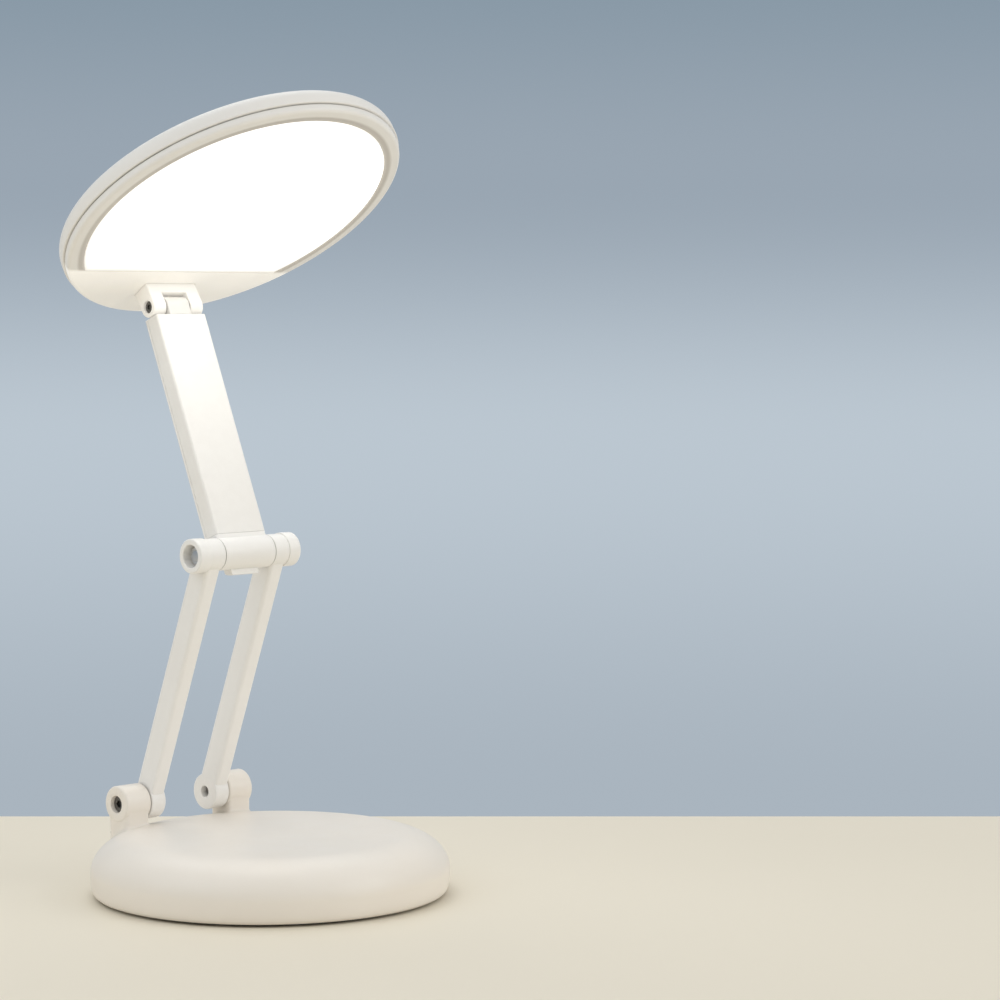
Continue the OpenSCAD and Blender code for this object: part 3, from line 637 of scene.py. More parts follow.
ring_gap = 0.1 * mm
ring_edge = 0.45 * mm
ring_in_r = foot_r - foot_w + ring_gap
ring_out_r = foot_r - ring_gap
groove_hw = 0.25 * mm
groove_depth = 0.3 * mm
foot_section = [(ring_in_r, foot_h + foot_seat)]
foot_section += arc(ring_in_r + ring_edge, ring_edge, ring_edge, ring_edge, 180, 270, 4)
for groove in (1.6 * mm, 3.1 * mm):
    at = foot_r - foot_w + groove
    foot_section += [(at - groove_hw, 0), (at, groove_depth), (at + groove_hw, 0)]
foot_section += arc(ring_out_r - ring_edge, ring_edge, ring_edge, ring_edge, 270, 360, 4)
foot_section += [(ring_out_r, foot_h + foot_seat), foot_section[0]]
foot_ring = turned("foot_ring_rubber", foot_section, 128)
rubber = moulded_finish("foot_rubber", (0.052, 0.048, 0.044), (0.062, 0.058, 0.052), 0.62, 0.78,
                        grain=3600, grain_depth=0.04 * mm, dust_and_shade=0.6)
finish_piece(foot_ring, "base", rubber, ["foot_ring"])


# A bare or plated metal finish: fine marks all over, patches that are duller, and brighter worn edges
def steel_finish(name, colour=(0.60, 0.61, 0.63), mark_scale=5200, rough_low=0.24, rough_high=0.42):
    material, tree, skin = new_material(name)
    surface = use_effect(tree, moulded_skin, Grain_Scale=mark_scale, Tone_Scale=160)
    worn = use_effect(tree, edge_wear, Start=0.52, Full=0.6)["Worn"]
    darker = tuple(c * 0.82 for c in colour)
    brighter = tuple(min(c * 1.3, 0.92) for c in colour)
    shown = blend_colour(tree, worn, two_tone(tree, surface, colour, darker), brighter)
    feed(tree, skin, {"Base Color": shown, "Metallic": 1,
                      "Roughness": gloss_range(tree, surface, rough_low, rough_high),
                      "Normal": bump(tree, surface["Grain"], 0.25, 0.01 * mm)})
    return material


plated_steel = steel_finish("zinc_plated_steel")
black_steel = steel_finish("blackened_steel", (0.20, 0.19, 0.18), rough_low=0.38, rough_high=0.55)


def hexagon(r, height):
    deselect()
    bpy.ops.mesh.primitive_cylinder_add(vertices=6, radius=r, depth=height)
    return bpy.context.object


thread_root = 0.86
screw_tip = 0.7


# A screw along Z, head down at z = 0: a domed head with a hexagon socket, and a threaded shank
def screw(name, head_r, head_h, thread_r, length, socket_r, socket_h, pitch=0.4 * mm):
    edge = min(0.35 * mm, head_h / 2)
    section = [(0, 0)] + arc(head_r - edge, edge, edge, edge, -90, 0, 4)
    section += [(head_r, head_h), (thread_r, head_h)]
    for i in range(int((length - 2 * pitch) / pitch)):
        z = head_h + (i + 0.5) * pitch
        section += [(thread_r * thread_root, z), (thread_r, z + pitch / 2)]
    section += [(thread_r * screw_tip, head_h + length), (0, head_h + length)]
    return cut_out(turned(name, section, 32), hexagon(socket_r, 2 * socket_h))


# Makes one piece of several like parts
def joined(name, parts):
    deselect()
    for part in parts:
        part.select_set(True)
    bpy.context.view_layer.objects.active = parts[0]
    bpy.ops.object.join()
    bpy.context.object.name = name
    return bpy.context.object


slip = 0.02 * mm
screw_sunk = 0.1 * mm
base_screws = []
for boss in boss_places:
    made = screw("base_screw", screw_head_r, head_h=1.1 * mm, thread_r=screw_r - slip, length=6.5 * mm,
                 socket_r=0.9 * mm, socket_h=0.6 * mm)
    base_screws.append(place(made, boss, shift(z=foot_h + screw_sunk)))
finish_piece(joined("cover_screws", base_screws), "base", plated_steel, ["base_screws"])


# ---------- Inside of the base ----------
# A steel disc gives the base its weight. A pouch cell lies on it, and the charging and dimming board
# stands behind it on two posts, with a socket, two switches and a few soldered parts.

weight_finish = steel_finish("rolled_steel_disc", (0.42, 0.42, 0.43), 1800, rough_low=0.38, rough_high=0.6)

foil_finish, tree, skin = new_material("pouch_foil")
surface = use_effect(tree, moulded_skin, Grain_Scale=900, Tone_Scale=90)
feed(tree, skin, {"Base Color": two_tone(tree, surface, (0.72, 0.73, 0.75), (0.62, 0.63, 0.66)),
                  "Roughness": gloss_range(tree, surface, 0.22, 0.38), "Metallic": 0.85,
                  "Normal": bump(tree, surface["Grain"], 0.5, 0.1 * mm)})

# Green solder mask with copper tracks under it
board_finish, tree, skin = new_material("solder_mask_board")
coords = add_node(tree, "ShaderNodeTexCoord").outputs
tracks = add_node(tree, "ShaderNodeTexVoronoi",
                  {"Vector": coords["Object"], "Scale": 420, "Randomness": 0.35},
                  feature="DISTANCE_TO_EDGE", distance="EUCLIDEAN")
track = map_range(tree, tracks.outputs["Distance"], 0.05, 0.1)
surface = use_effect(tree, moulded_skin, Grain_Scale=2800, Tone_Scale=60)
mask = two_tone(tree, surface, (0.012, 0.16, 0.06), (0.010, 0.13, 0.05))
feed(tree, skin, {"Base Color": blend_colour(tree, track, (0.035, 0.26, 0.09), mask),
                  "Roughness": gloss_range(tree, surface, 0.25, 0.4),
                  "Normal": bump(tree, track, 0.4, 0.03 * mm, invert=True)})

wire_finish = moulded_finish("white_wire_insulation", (0.80, 0.80, 0.78), (0.76, 0.76, 0.73), 0.3, 0.42, 1500)
chip_finish = moulded_finish("black_chip_resin", (0.03, 0.03, 0.032), (0.04, 0.04, 0.04), 0.35, 0.5, 3000)
gold_finish = steel_finish("gold_plated_contact", (0.85, 0.62, 0.28), 4200, 0.2, 0.34)


# A CAD node keeps its shape, and gets the finish of the real piece
def dress(finish, *names):
    for name in names:
        node[name].data.materials.clear()
        node[name].data.materials.append(finish)


dress(weight_finish, "counterweight")
dress(foil_finish, "battery_pack")
dress(board_finish, "control_board", "led_board")
dress(wire_finish, "battery_leads", "base_wire", "leg_wire", "arm_wire", "head_wire")
dress(plated_steel, "board_screws", "usb_c_socket", "tact_switches", "base_hinge_washers", "elbow_washers",
      "head_hinge_washers", "hinge_block_screws")

# Soldered parts: two chips, a coil and a row of small capacitors, as (x, y, width, length, height)
board_top = Vector((0, 0, board_z + board_t))
soldered = [(-9, 49.2, 2.6, 3.4, 0.9), (8.2, 46.8, 2.2, 2.2, 0.8), (-20.6, 46.5, 3.2, 3.2, 1.8)]
soldered += [(-1.2 + 1.6 * i, 50.6, 0.7, 1.2, 0.6) for i in range(3)]
chips = []
for x, y, w, l, h in soldered:
    low = Vector((x - w / 2, y - l / 2, 0)) * mm + board_top
    chips.append(bar("chip", low, low + Vector((w, l, h)) * mm, edge=0.1 * mm, count=2))
finish_piece(joined("board_chips", chips), "base", chip_finish)


# ---------- Controls in the rear wall ----------
# Two round push buttons with a slightly dished face, and between them the metal charging socket with
# its contact tongue. A clear light pipe beside it shows that the cell is charging.

button_out = 1 * mm
button_stem = 5.4 * mm
button_edge = 0.4 * mm
flange_r = button_r + 0.9 * mm
flange_t = 1 * mm
face_y = math.sqrt(base_r ** 2 - button_x ** 2) + button_out
back_y = face_y - button_out - button_stem
dish_r = button_r - 0.7 * mm
dish_depth = 0.25 * mm
length = button_stem + button_out
button_section = [(0, 0), (flange_r, 0), (flange_r, flange_t), (button_r, flange_t)]
button_section += arc(button_r - button_edge, length - button_edge, button_edge, button_edge, 0, 90, 5)
button_section += [(dish_r * math.sin(math.radians(a)), length - dish_depth * math.cos(math.radians(a)))
                   for a in (90, 70, 50, 30, 15, 0)]
for name, x in (("power_button", -button_x), ("brightness_button", button_x)):
    button = place(turned(name + "_cap", button_section, 64), shift(x, back_y, control_z), along_y)
    finish_piece(button, name, base_plastic, [name])

contact_rear = base_r - 1.7 * mm
contact_l = 3.7 * mm
contact_step = 0.85 * mm
contact_row = 0.36 * mm
half_contact = Vector((0.16 * mm, 0, 0.03 * mm))
contacts = []
for row in (-1, 1):
    for i in range(6):
        spot = Vector(((i - 2.5) * contact_step, contact_rear, control_z + row * contact_row))
        contacts.append(bar("contact", spot - half_contact - Vector((0, contact_l, 0)), spot + half_contact))
finish_piece(joined("socket_contacts", contacts), "base", gold_finish)

clear_finish, tree, skin = new_material("clear_moulded_plastic")
surface = use_effect(tree, moulded_skin, Grain_Scale=1200, Tone_Scale=50)
feed(tree, skin, {"Base Color": two_tone(tree, surface, (0.90, 0.93, 0.95), (0.86, 0.90, 0.93), 0, 1),
                  "Roughness": gloss_range(tree, surface, 0.06, 0.16),
                  "Transmission Weight": 0.8, "IOR": 1.49})
dress(clear_finish, "charge_light", "light_guide")


# ---------- Base hinge ----------
# A steel screw with a hexagon socket passes through each lug into a leg's eye. It is tightened on a
# friction washer, so that the arm stays where it is put.

leg_in = 11.1 * mm
leg_out = 17.1 * mm
hinge_head_r = 2.8 * mm
hinge_head_x = 25 * mm
hinge_head_t = 1.6 * mm
hinge_screw_l = hinge_head_x - leg_in - 2 * mm

hinge_screws = []
for side in (-1, 1):
    made = screw("hinge_screw", hinge_head_r, hinge_head_t, pin_r - slip, hinge_screw_l,
                 socket_r=1.4 * mm, socket_h=1 * mm, pitch=0.5 * mm)
    place(made, at_lugs, shift(side * (hinge_head_x + hinge_head_t)), turn(-90 * side, "Y"))
    hinge_screws.append(made)
finish_piece(joined("hinge_screws", hinge_screws), "base", black_steel, ["base_hinge_screws"])


# ---------- Lower arm ----------
# Two equal bars moulded in ABS, each with an eye for the base hinge and a round boss for the elbow.
# A strip snapped into the rear face of each covers the channel for the wire.

leg_t = 8.8 * mm
leg_edge = 1.3 * mm
lower_l = 92 * mm
barrel_r = 5.5 * mm
barrel_edge = 0.15 * mm
eye_edge = 0.5 * mm
bore_slack = 0.05 * mm
bore_r = pin_r + bore_slack
strip_w = 4.2 * mm
strip_t = 1.2 * mm
strip_gap = 0.08 * mm
strip_start = 9 * mm
strip_end = lower_l - 9 * mm
channel_w = 3 * mm
channel_depth = 4.6 * mm
flush = 0.03 * mm
lower_axis = hinge["elbow_hinge"] - hinge["base_hinge"]
lower_lean = math.atan2(-lower_axis.y, lower_axis.z)
at_base_hinge = shift(*hinge["base_hinge"]) @ Matrix.Rotation(lower_lean, 4, "X")
leg_top = shift(z=lower_l)
at_leg_top = at_base_hinge @ leg_top


def upright(a, b):
    return abs(a.z - b.z) > 1 * mm


for side, name in ((-1, "left_leg"), (1, "right_leg")):
    x0, x1 = span(side, leg_in, leg_out)
    mid_x = (x0 + x1) / 2
    rear_y = leg_t / 2
    leg = bar(name + "_bar", (x0 + flush, -rear_y, 0), (x1 - flush, rear_y, lower_l), leg_edge, upright, 5)
    weld_on(leg, rod_x("eye", lug_r, x0, x1, eye_edge),
            place(rod_x("boss", barrel_r, x0, x1, barrel_edge), leg_top))
    cut_out(leg, rod_x("bore", bore_r, x0 - over, x1 + over),
            place(rod_x("bore", bore_r, x0 - over, x1 + over), leg_top),
            bar("step", (mid_x - strip_w / 2, rear_y - strip_t, strip_start),
                (mid_x + strip_w / 2, leg_t, strip_end)),
            bar("channel", (mid_x - channel_w / 2, rear_y - channel_depth, strip_start + mm),
                (mid_x + channel_w / 2, leg_t, strip_end - mm)))
    round_edges(leg, 0.2 * mm)
    finish_ivory(place(leg, at_base_hinge), "lower_arm", name)
    strip_hw = strip_w / 2 - strip_gap
    strip = bar(name + "_strip", (mid_x - strip_hw, rear_y - strip_t, strip_start + strip_gap),
                (mid_x + strip_hw, rear_y - strip_gap, strip_end - strip_gap), edge=0.25 * mm, count=3)
    finish_ivory(place(strip, at_base_hinge), "lower_arm", name + "_cover")


# ---------- Elbow ----------
# The barrel of the elbow: two cup-shaped end caps, the legs' bosses, and the knuckle of the upper arm
# between them. A steel shaft clamps the stack, with a nut sunk in each cap.

arm_hw = 10.8 * mm
arm_t = 7 * mm
arm_back = 0.6 * mm
arm_front = arm_back - arm_t / 2
arm_rear = arm_back + arm_t / 2
arm_wall = 1.5 * mm
arm_edge = 0.8 * mm
arm_bottom = barrel_r + 0.7 * mm
cap_r = 5.8 * mm
cap_w = 4.9 * mm
cap_edge = 0.55 * mm
cap_foot = 0.2 * mm
cap_floor = 1 * mm
cap_lip = 0.3 * mm
cap_corner = 0.4 * mm
cap_pocket_r = 3.8 * mm
nut_r = 3 * mm
nut_t = 1.3 * mm
nut_chamfer = 0.5 * mm
nut_chamfer_r = nut_r * 0.86
shaft_end = 20 * mm
head_vector = hinge["head_hinge"] - hinge["elbow_hinge"]
upper_l = math.sqrt(head_vector.length ** 2 - arm_back ** 2)
upper_lean = math.atan2(head_vector.y, head_vector.z) - math.atan2(arm_back, upper_l)
at_elbow = shift(*hinge["elbow_hinge"]) @ Matrix.Rotation(-upper_lean, 4, "X")

cap_section = [(bore_r, 0)]
cap_section += arc(cap_r - cap_foot, cap_foot, cap_foot, cap_foot, -90, 0, 3)
cap_section += arc(cap_r - cap_edge, cap_w - cap_edge, cap_edge, cap_edge, 0, 90, 6)
cap_section += arc(cap_pocket_r + cap_lip, cap_w - cap_lip, cap_lip, cap_lip, 90, 180, 4)
cap_section += arc(cap_pocket_r - cap_corner, cap_floor + cap_corner, cap_corner, cap_corner, 0, -90, 4)
cap_section += [(bore_r, cap_floor), cap_section[0]]
for side, name in ((-1, "left_elbow_cap"), (1, "right_elbow_cap")):
    cap = turned(name + "_cup", cap_section, 72)
    place(cap, at_leg_top, shift(side * leg_out), turn(90 * side, "Y"))
    finish_ivory(cap, "lower_arm", name)

shaft = place(rod_x("threaded_shaft", pin_r - slip, -shaft_end, shaft_end, 0.35 * mm, 48), at_leg_top)
finish_piece(shaft, "elbow_shaft", plated_steel, ["elbow_shaft"])

# A nut is a hexagon with its corners taken off by a lens.
lens_half = [(nut_r * 1.02, nut_t / 2 - nut_chamfer), (nut_chamfer_r, nut_t / 2 + 0.01 * mm), (0, nut_t)]
lens = [(x, -z) for x, z in reversed(lens_half)] + lens_half
nuts = []
for side in (-1, 1):
    nut = hexagon(nut_r, nut_t)
    combine(nut, turned("lens", lens, 48), "INTERSECT")
    cut_out(nut, turned("bore", rod_section(pin_r - slip / 2, -nut_t, nut_t), 32))
    nut_x = side * (leg_out + cap_floor + fit + nut_t / 2)
    nuts.append(place(nut, at_leg_top, shift(nut_x), turn(90 * side, "Y")))
finish_piece(joined("shaft_nuts", nuts), "elbow_shaft", plated_steel, ["elbow_nuts"])

tail_r = 7.4 * mm
tail_hw = 5.8 * mm
tail_front = 0.4 * mm
tail_low = 8 * mm
tenon = 14 * mm
lid_depth = 1.4 * mm
tenon_hw = arm_hw - arm_wall - fit
tenon_front = arm_front + arm_wall + fit
tenon_rear = arm_rear - lid_depth - fit
wire_way_r = 1.3 * mm
wire_way_low = 3.2 * mm
knuckle = rod_x("knuckle", barrel_r, -arm_hw, arm_hw, barrel_edge, 72)
tail = rod_x("tail", tail_r, -tail_hw, tail_hw, eye_edge, 72)
combine(tail, bar("keep", (-arm_hw, tail_front, -tail_low), (arm_hw, arm_rear, arm_bottom)), "INTERSECT")
root = bar("root", (-arm_hw + flush, arm_front, 0), (arm_hw - flush, arm_rear, arm_bottom), arm_edge,
           upright)
plug = bar("plug", (-tenon_hw, tenon_front, 0), (tenon_hw, tenon_rear, arm_bottom + tenon))
weld_on(knuckle, root, tail, plug)
way = turned("way", rod_section(wire_way_r, wire_way_low, arm_bottom + tenon + over), 24)
cut_out(knuckle, rod_x("bore", bore_r, -arm_hw - over, arm_hw + over), place(way, shift(y=arm_back)))
round_edges(knuckle, 0.18 * mm)
finish_ivory(place(knuckle, at_elbow), "upper_arm", "elbow_knuckle")


# ---------- Upper arm ----------
# A flat hollow arm: a channel-shaped front shell, and a lid on its rear held by four small screws.
# Its lower end sits on the knuckle's plug, and the tongue for the head is plugged into its upper end.

cheek_r = 3.6 * mm
arm_top = upper_l - cheek_r - 0.3 * mm
seam = 0.06 * mm
lid_screw_in = 3 * mm
edge_reach = 0.1 * mm

arm_shell = bar("arm_shell", (-arm_hw, arm_front, arm_bottom + seam), (arm_hw, arm_rear - lid_depth, arm_top),
                arm_edge, lambda a, b: upright(a, b) and a.y < 0, 5)
cut_out(arm_shell, bar("inside", (-arm_hw + arm_wall, arm_front + arm_wall, arm_bottom - over),
                       (arm_hw - arm_wall, arm_rear, arm_top + over)))
round_edges(arm_shell, 0.18 * mm)
finish_ivory(place(arm_shell, at_elbow), "upper_arm", "upper_arm_front")

arm_lid = bar("arm_lid", (-arm_hw, arm_rear - lid_depth + seam, arm_bottom + seam),
              (arm_hw, arm_rear, arm_top), arm_edge,
              lambda a, b: upright(a, b) and a.y > arm_rear - edge_reach, 5)
screw_places = [shift(x, arm_rear, z) @ turn(90, "X")
                for x in (-tenon_hw + lid_screw_in, tenon_hw - lid_screw_in)
                for z in (arm_bottom + tenon / 2, arm_top - tenon / 2)]
for spot in screw_places:
    cut_out(arm_lid, place(sink_tool(screw_head_r, -over, lid_depth / 2, lid_depth + over), spot))
round_edges(arm_lid, 0.15 * mm)
finish_ivory(place(arm_lid, at_elbow), "upper_arm", "upper_arm_back")

lid_screws = []
for spot in screw_places:
    made = screw("lid_screw", screw_head_r - fit, lid_depth / 2 - screw_sunk, screw_r, length=0.7 * mm,
                 socket_r=0.8 * mm, socket_h=0.4 * mm)
    lid_screws.append(place(made, at_elbow, spot, shift(z=screw_sunk)))
finish_piece(joined("lid_screws", lid_screws), "upper_arm", plated_steel, ["arm_screws"])

tongue_hw = 4.8 * mm
tongue_edge = 0.4 * mm
head_pin_r = 1.5 * mm
head_way_end = upper_l - head_pin_r - 1.6 * mm
at_arm_end = shift(z=upper_l)
tongue = place(rod_x("tongue", arm_t / 2, -tongue_hw, tongue_hw, tongue_edge), at_arm_end)
neck = bar("neck", (-tongue_hw + flush, -arm_t / 2 + flush, arm_top),
           (tongue_hw - flush, arm_t / 2 - flush, upper_l), tongue_edge, upright, 3)
plug = bar("plug", (-tenon_hw, tenon_front - arm_back, arm_top - tenon),
           (tenon_hw, tenon_rear - arm_back, arm_top))
weld_on(tongue, neck, plug)
bore = rod_x("bore", head_pin_r + bore_slack, -tongue_hw - over, tongue_hw + over)
cut_out(tongue, place(bore, at_arm_end),
        turned("way", rod_section(wire_way_r, arm_top - tenon - over, head_way_end), 24))
round_edges(tongue, 0.15 * mm, 2)
finish_ivory(place(tongue, at_elbow, shift(y=arm_back)), "upper_arm", "head_tongue")


# ---------- Head shell and front ring ----------
# A shallow round dish of ABS closed by a front ring with a low side wall. The ring snaps into the dish
# and leaves a thin dark line all round. Its opening for the light has one straight edge, by the hinge.

head_tilt = math.radians(33.2)
at_head_hinge = shift(*hinge["head_hinge"]) @ Matrix.Rotation(-head_tilt, 4, "X")
head_r = 60 * mm
head_y = -45 * mm
head_centre = shift(y=head_y)
face_z = 7.1 * mm
back_z = 16.6 * mm
ring_t = 1.3 * mm
ring_side = 2.7 * mm
slit = 0.3 * mm
shell_z = face_z + ring_side + slit
shell_lip = 0.3 * mm
head_wall = 1.6 * mm
head_round = 4 * mm
ring_r = head_r - 0.7 * mm
plate_z = 9 * mm
plate_t = 2.4 * mm
block_screw_x = 14.5 * mm
head_post_r = 3 * mm

dish = [(head_r - head_wall, shell_z)]
dish += arc(head_r - shell_lip, shell_z + shell_lip, shell_lip, shell_lip, -90, 0, 3)
dish += arc(head_r - head_round, back_z - head_round, head_round, head_round, 0, 90, 18)
dish += [(head_r * 0.62, back_z), (head_r * 0.31, back_z), (0, back_z), (0, back_z - head_wall)]
inner_round = head_round - head_wall
dish += arc(head_r - head_round, back_z - head_round, inner_round, inner_round, 90, 0, 8)
dish += [dish[0]]
head_shell = place(turned("head_shell", dish, 160), head_centre)
post_low = plate_z + plate_t
post_high = back_z - head_wall / 2
for x in (-block_screw_x, block_screw_x):
    post = turned("post", [(screw_r, post_low), (head_post_r, post_low), (head_post_r, post_high),
                           (screw_r, post_high), (screw_r, post_low)], 32)
    weld_on(head_shell, place(post, shift(x)))
finish_ivory(place(head_shell, at_head_hinge), "head", "head_back_shell")

light_in_r = 53.5 * mm
chord_y = -11 * mm


# A disc with one straight edge, made from a circle that is cut and drawn up
def cut_disc(name, r, y_cut, z0, z1, edge=0.0):
    deselect()
    bpy.ops.mesh.primitive_circle_add(vertices=160, radius=r, fill_type="NGON")
    piece = bpy.context.object
    piece.name = name
    place(piece, shift(z=z0), head_centre)
    enter("EDIT")
    select_mesh()
    bpy.ops.mesh.bisect(plane_co=(0, y_cut, 0), plane_no=(0, 1, 0), clear_outer=True)
    select_mesh()
    bpy.ops.mesh.extrude_region_move(TRANSFORM_OT_translate={"value": (0, 0, z1 - z0)})
    faces_out()
    if edge:
        round_edges(piece, edge, 3, 60)
    return piece


snap_r = head_r - head_wall - fit
snap_t = 1.4 * mm
snap_h = 2 * mm
ring_round = 1.3 * mm
ring_section = [(0, face_z)]
ring_section += arc(ring_r - ring_round, face_z + ring_round, ring_round, ring_round, -90, 0, 8)
ring_section += [(ring_r, face_z + ring_side), (snap_r, face_z + ring_side), (snap_r, shell_z + snap_h),
                 (snap_r - snap_t, shell_z + snap_h), (snap_r - snap_t, face_z + ring_t),
                 (0, face_z + ring_t)]
front_ring = place(turned("front_ring", ring_section, 160), head_centre)
pocket_hw = arm_hw + fit
pocket_r = cheek_r + fit
cut_out(front_ring, cut_disc("light_opening", light_in_r, chord_y, face_z - over, face_z + ring_t + over),
        bar("pocket", (-pocket_hw, -pocket_r, face_z - over), (pocket_hw, pocket_r, face_z + ring_t + over),
            0.4 * mm, upright, 3))
round_edges(front_ring, 0.22 * mm)

# Effects of the light: how far a point of the head's face lies outside the lit opening
head_reach, _, given = effect("head_reach", [], ["Outside", "Past Chord"])
coords = add_node(head_reach, "ShaderNodeTexCoord").outputs
local = add_node(head_reach, "ShaderNodeMapping", {
    "Vector": coords["Object"], "Location": at_head_hinge @ Vector((0, head_y, 0)),
    "Rotation": (-head_tilt, 0, 0)}, vector_type="TEXTURE").outputs["Vector"]
flat = add_node(head_reach, "ShaderNodeVectorMath", {0: local, 1: (1, 1, 0)}, operation="MULTIPLY").outputs
radius = add_node(head_reach, "ShaderNodeVectorMath", {0: flat["Vector"]}, operation="LENGTH").outputs
split = add_node(head_reach, "ShaderNodeSeparateXYZ", {0: local}).outputs
past_round = maths(head_reach, "SUBTRACT", radius["Value"], light_in_r)
past_chord = maths(head_reach, "SUBTRACT", split["Y"], chord_y - head_y)
feed(head_reach, given, {"Outside": maths(head_reach, "MAXIMUM", past_round, past_chord),
                         "Past Chord": past_chord})

# Painted light: the ring and the hinge block glow by the straight edge, where the row of LEDs lies right
# behind it, and the ring a little next to the round opening, a painted glow for light on and through the thin
# plastic.
# A greyer lip of painted shade runs round the opening.
ring_plastic_with_painted_light = moulded_finish("ivory_ring_plastic", ivory, ivory_drift, 0.36, 0.46)
tree = ring_plastic_with_painted_light.node_tree
skin = tree.nodes["Principled BSDF"]
reach = use_effect(tree, head_reach)
surface = use_effect(tree, moulded_skin, Grain_Scale=300, Tone_Scale=60)
painted_rim_glow = map_range(tree, reach["Outside"], 1 * mm, 0, 0, 0.25)
painted_glow_by_leds = map_range(tree, reach["Past Chord"], 14 * mm, 0, 0.36, 0.8)
at_strip = map_range(tree, reach["Past Chord"], -1 * mm, 0.5 * mm)
painted_glow = maths(tree, "MAXIMUM", painted_rim_glow, maths(tree, "MULTIPLY", painted_glow_by_leds, at_strip))
painted_glow = maths(tree, "MULTIPLY", painted_glow, map_range(tree, surface["Tone"], 0.3, 0.7, 0.8, 1))
# Painted shade: the ring's colour greys within a few millimetres of the round opening.
lip = maths(tree, "MULTIPLY", map_range(tree, reach["Outside"], 2.7 * mm, 1.7 * mm),
            map_range(tree, reach["Past Chord"], 0.5 * mm, -1 * mm))
plain = skin.inputs["Base Color"].links[0].from_socket
feed(tree, skin, {"Emission Color": blend_colour(tree, painted_glow, (0, 0, 0), (1, 0.96, 0.88)),
                  "Emission Strength": 0.35,
                  "Base Color": blend_colour(tree, lip, plain, (0.62, 0.585, 0.54))})
finish_piece(place(front_ring, at_head_hinge), "head", ring_plastic_with_painted_light, ["head_front_ring"])


# ---------- Light ----------
# An opal acrylic disc lies flush in the ring's opening. A row of LEDs by its straight edge lights the
# clear guide behind it, and a white sheet behind the guide sends the light forward.

diffuser_t = 1.48 * mm
diffuser_gap = 0.12 * mm
diffuser_z = face_z + diffuser_gap
diffuser = cut_disc("opal_diffuser", light_in_r - diffuser_gap, chord_y - diffuser_gap, diffuser_z,
                    diffuser_z + diffuser_t, diffuser_gap)
opal_glow, tree, skin = new_material("lit_opal_acrylic")
reach = use_effect(tree, head_reach)
surface = use_effect(tree, moulded_skin, Grain_Scale=1500, Tone_Scale=24)
chord_fall = map_range(tree, reach["Past Chord"], -42 * mm, 0)
rim_fall = map_range(tree, reach["Outside"], -1.6 * mm, 0)
glow = two_tone(tree, surface, (0.97, 0.985, 1), (0.93, 0.94, 0.95), 0.35, 0.65)
glow = blend_colour(tree, chord_fall, glow, (0.15, 0.15, 0.148))
glow = blend_colour(tree, rim_fall, glow, (0.09, 0.088, 0.082))
feed(tree, skin, {"Emission Color": glow, "Emission Strength": 3.0,
                  "Base Color": two_tone(tree, surface, (0.90, 0.89, 0.86), (0.86, 0.85, 0.82), 0, 1),
                  "Roughness": gloss_range(tree, surface, 0.3, 0.42),
                  "Normal": bump(tree, surface["Grain"], 0.2, 0.01 * mm)})
finish_piece(place(diffuser, at_head_hinge), "head", opal_glow, ["diffuser"])

film_finish = moulded_finish("white_reflector_film", (0.92, 0.92, 0.91), (0.90, 0.90, 0.88), 0.22, 0.32,
                             1800)
dress(film_finish, "reflector_sheet")
led_finish, tree, skin = new_material("led_phosphor")
surface = use_effect(tree, moulded_skin, Grain_Scale=3000, Tone_Scale=500)
feed(tree, skin, {"Base Color": two_tone(tree, surface, (0.92, 0.78, 0.22), (0.85, 0.70, 0.18)),
                  "Emission Color": two_tone(tree, surface, (1, 0.93, 0.72), (1, 0.86, 0.55), 0, 1),
                  "Emission Strength": 2, "Roughness": gloss_range(tree, surface, 0.15, 0.3)})
dress(led_finish, "leds")


# ---------- Head hinge ----------
# Two cheeks with a web between them stand on a plate that is screwed inside the head, and come out
# through the ring. They hold the arm's tongue on a steel pin with a hexagon socket.

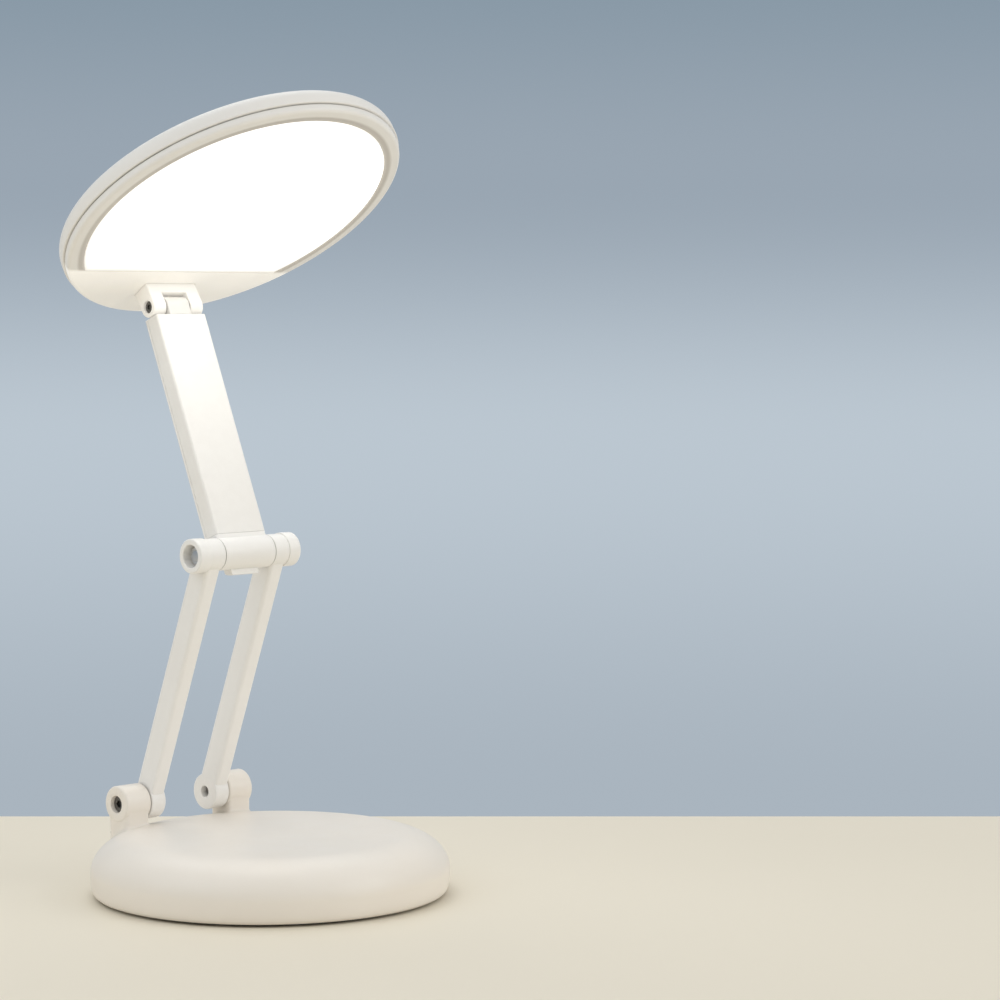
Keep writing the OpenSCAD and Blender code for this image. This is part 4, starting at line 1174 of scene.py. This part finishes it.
cheek_w = 5.5 * mm
cheek_out = arm_hw
cheek_in = cheek_out - cheek_w
cheek_round = 0.45 * mm
cheek_foot = plate_z + 0.5 * mm
web_z = arm_t / 2 + 0.3 * mm
web_r = cheek_r - slip
web_hw = cheek_out - 1 * mm
plate_hw = 18 * mm
plate_front = 6 * mm
plate_rear = 8.5 * mm
plate_top = plate_z + plate_t
pin_sink = 1.6 * mm
pin_sink_r = 2.2 * mm
washer_r = 2.9 * mm
washer_seat = 0.4 * mm
block = bar("hinge_block", (-plate_hw, -plate_front, plate_z), (plate_hw, plate_rear, plate_top), 0.8 * mm,
            upright, 4)
weld_on(block, bar("web", (-web_hw, -web_r, web_z), (web_hw, web_r, cheek_foot), 0.3 * mm,
                   lambda a, b: max(a.z, b.z) < web_z + over, 3))
for side in (-1, 1):
    x0, x1 = span(side, cheek_in, cheek_out)
    end = rod_x("cheek_end", cheek_r, x0, x1, cheek_round)
    cheek = bar("cheek", (x0, -cheek_r, 0), (x1, cheek_r, cheek_foot), cheek_round, upright, 4)
    weld_on(block, end, cheek)
    hole = turned("hole", rod_section(screw_r + fit, plate_z - over, plate_top + over), 32)
    cut_out(block, rod_x("seat", pin_sink_r, *span(side, cheek_out - pin_sink, cheek_out + over)),
            rod_x("washer_seat", washer_r, *span(side, cheek_in - over, cheek_in + washer_seat)),
            place(hole, shift(side * block_screw_x)))
cut_out(block, rod_x("bore", head_pin_r, -cheek_out, cheek_out),
        turned("way", rod_section(wire_way_r, 0, plate_top + over), 32))
round_edges(block, 0.14 * mm, 2)
# Painted light: the block takes the ring's finish, so it glows a little.
finish_piece(place(block, at_head_hinge), "head", ring_plastic_with_painted_light, ["head_hinge_block"])

pin_head = 0.9 * mm
pin_edge = 0.35 * mm
pin_tip = 0.28 * mm
pin_end = cheek_out - pin_sink
pin_l = pin_head + 2 * pin_end + 0.6 * mm
pin_head_r = pin_sink_r - 0.15 * mm
pin_section = [(0, 0)] + arc(pin_head_r - pin_edge, pin_edge, pin_edge, pin_edge, -90, 0, 4)
pin_section += [(pin_head_r, pin_head), (head_pin_r - slip, pin_head)]
pin_section += arc(head_pin_r - slip - pin_tip, pin_l - slip - pin_tip, pin_tip, pin_tip, 0, 90, 4)
pin_section += [(0, pin_l - slip)]
hinge_pin = cut_out(turned("hinge_pin", pin_section, 48), hexagon(r=1 * mm, height=1 * mm))
place(hinge_pin, at_head_hinge, shift(-pin_end - pin_head), along_x)
finish_piece(hinge_pin, "head", black_steel, ["head_hinge_pin"])
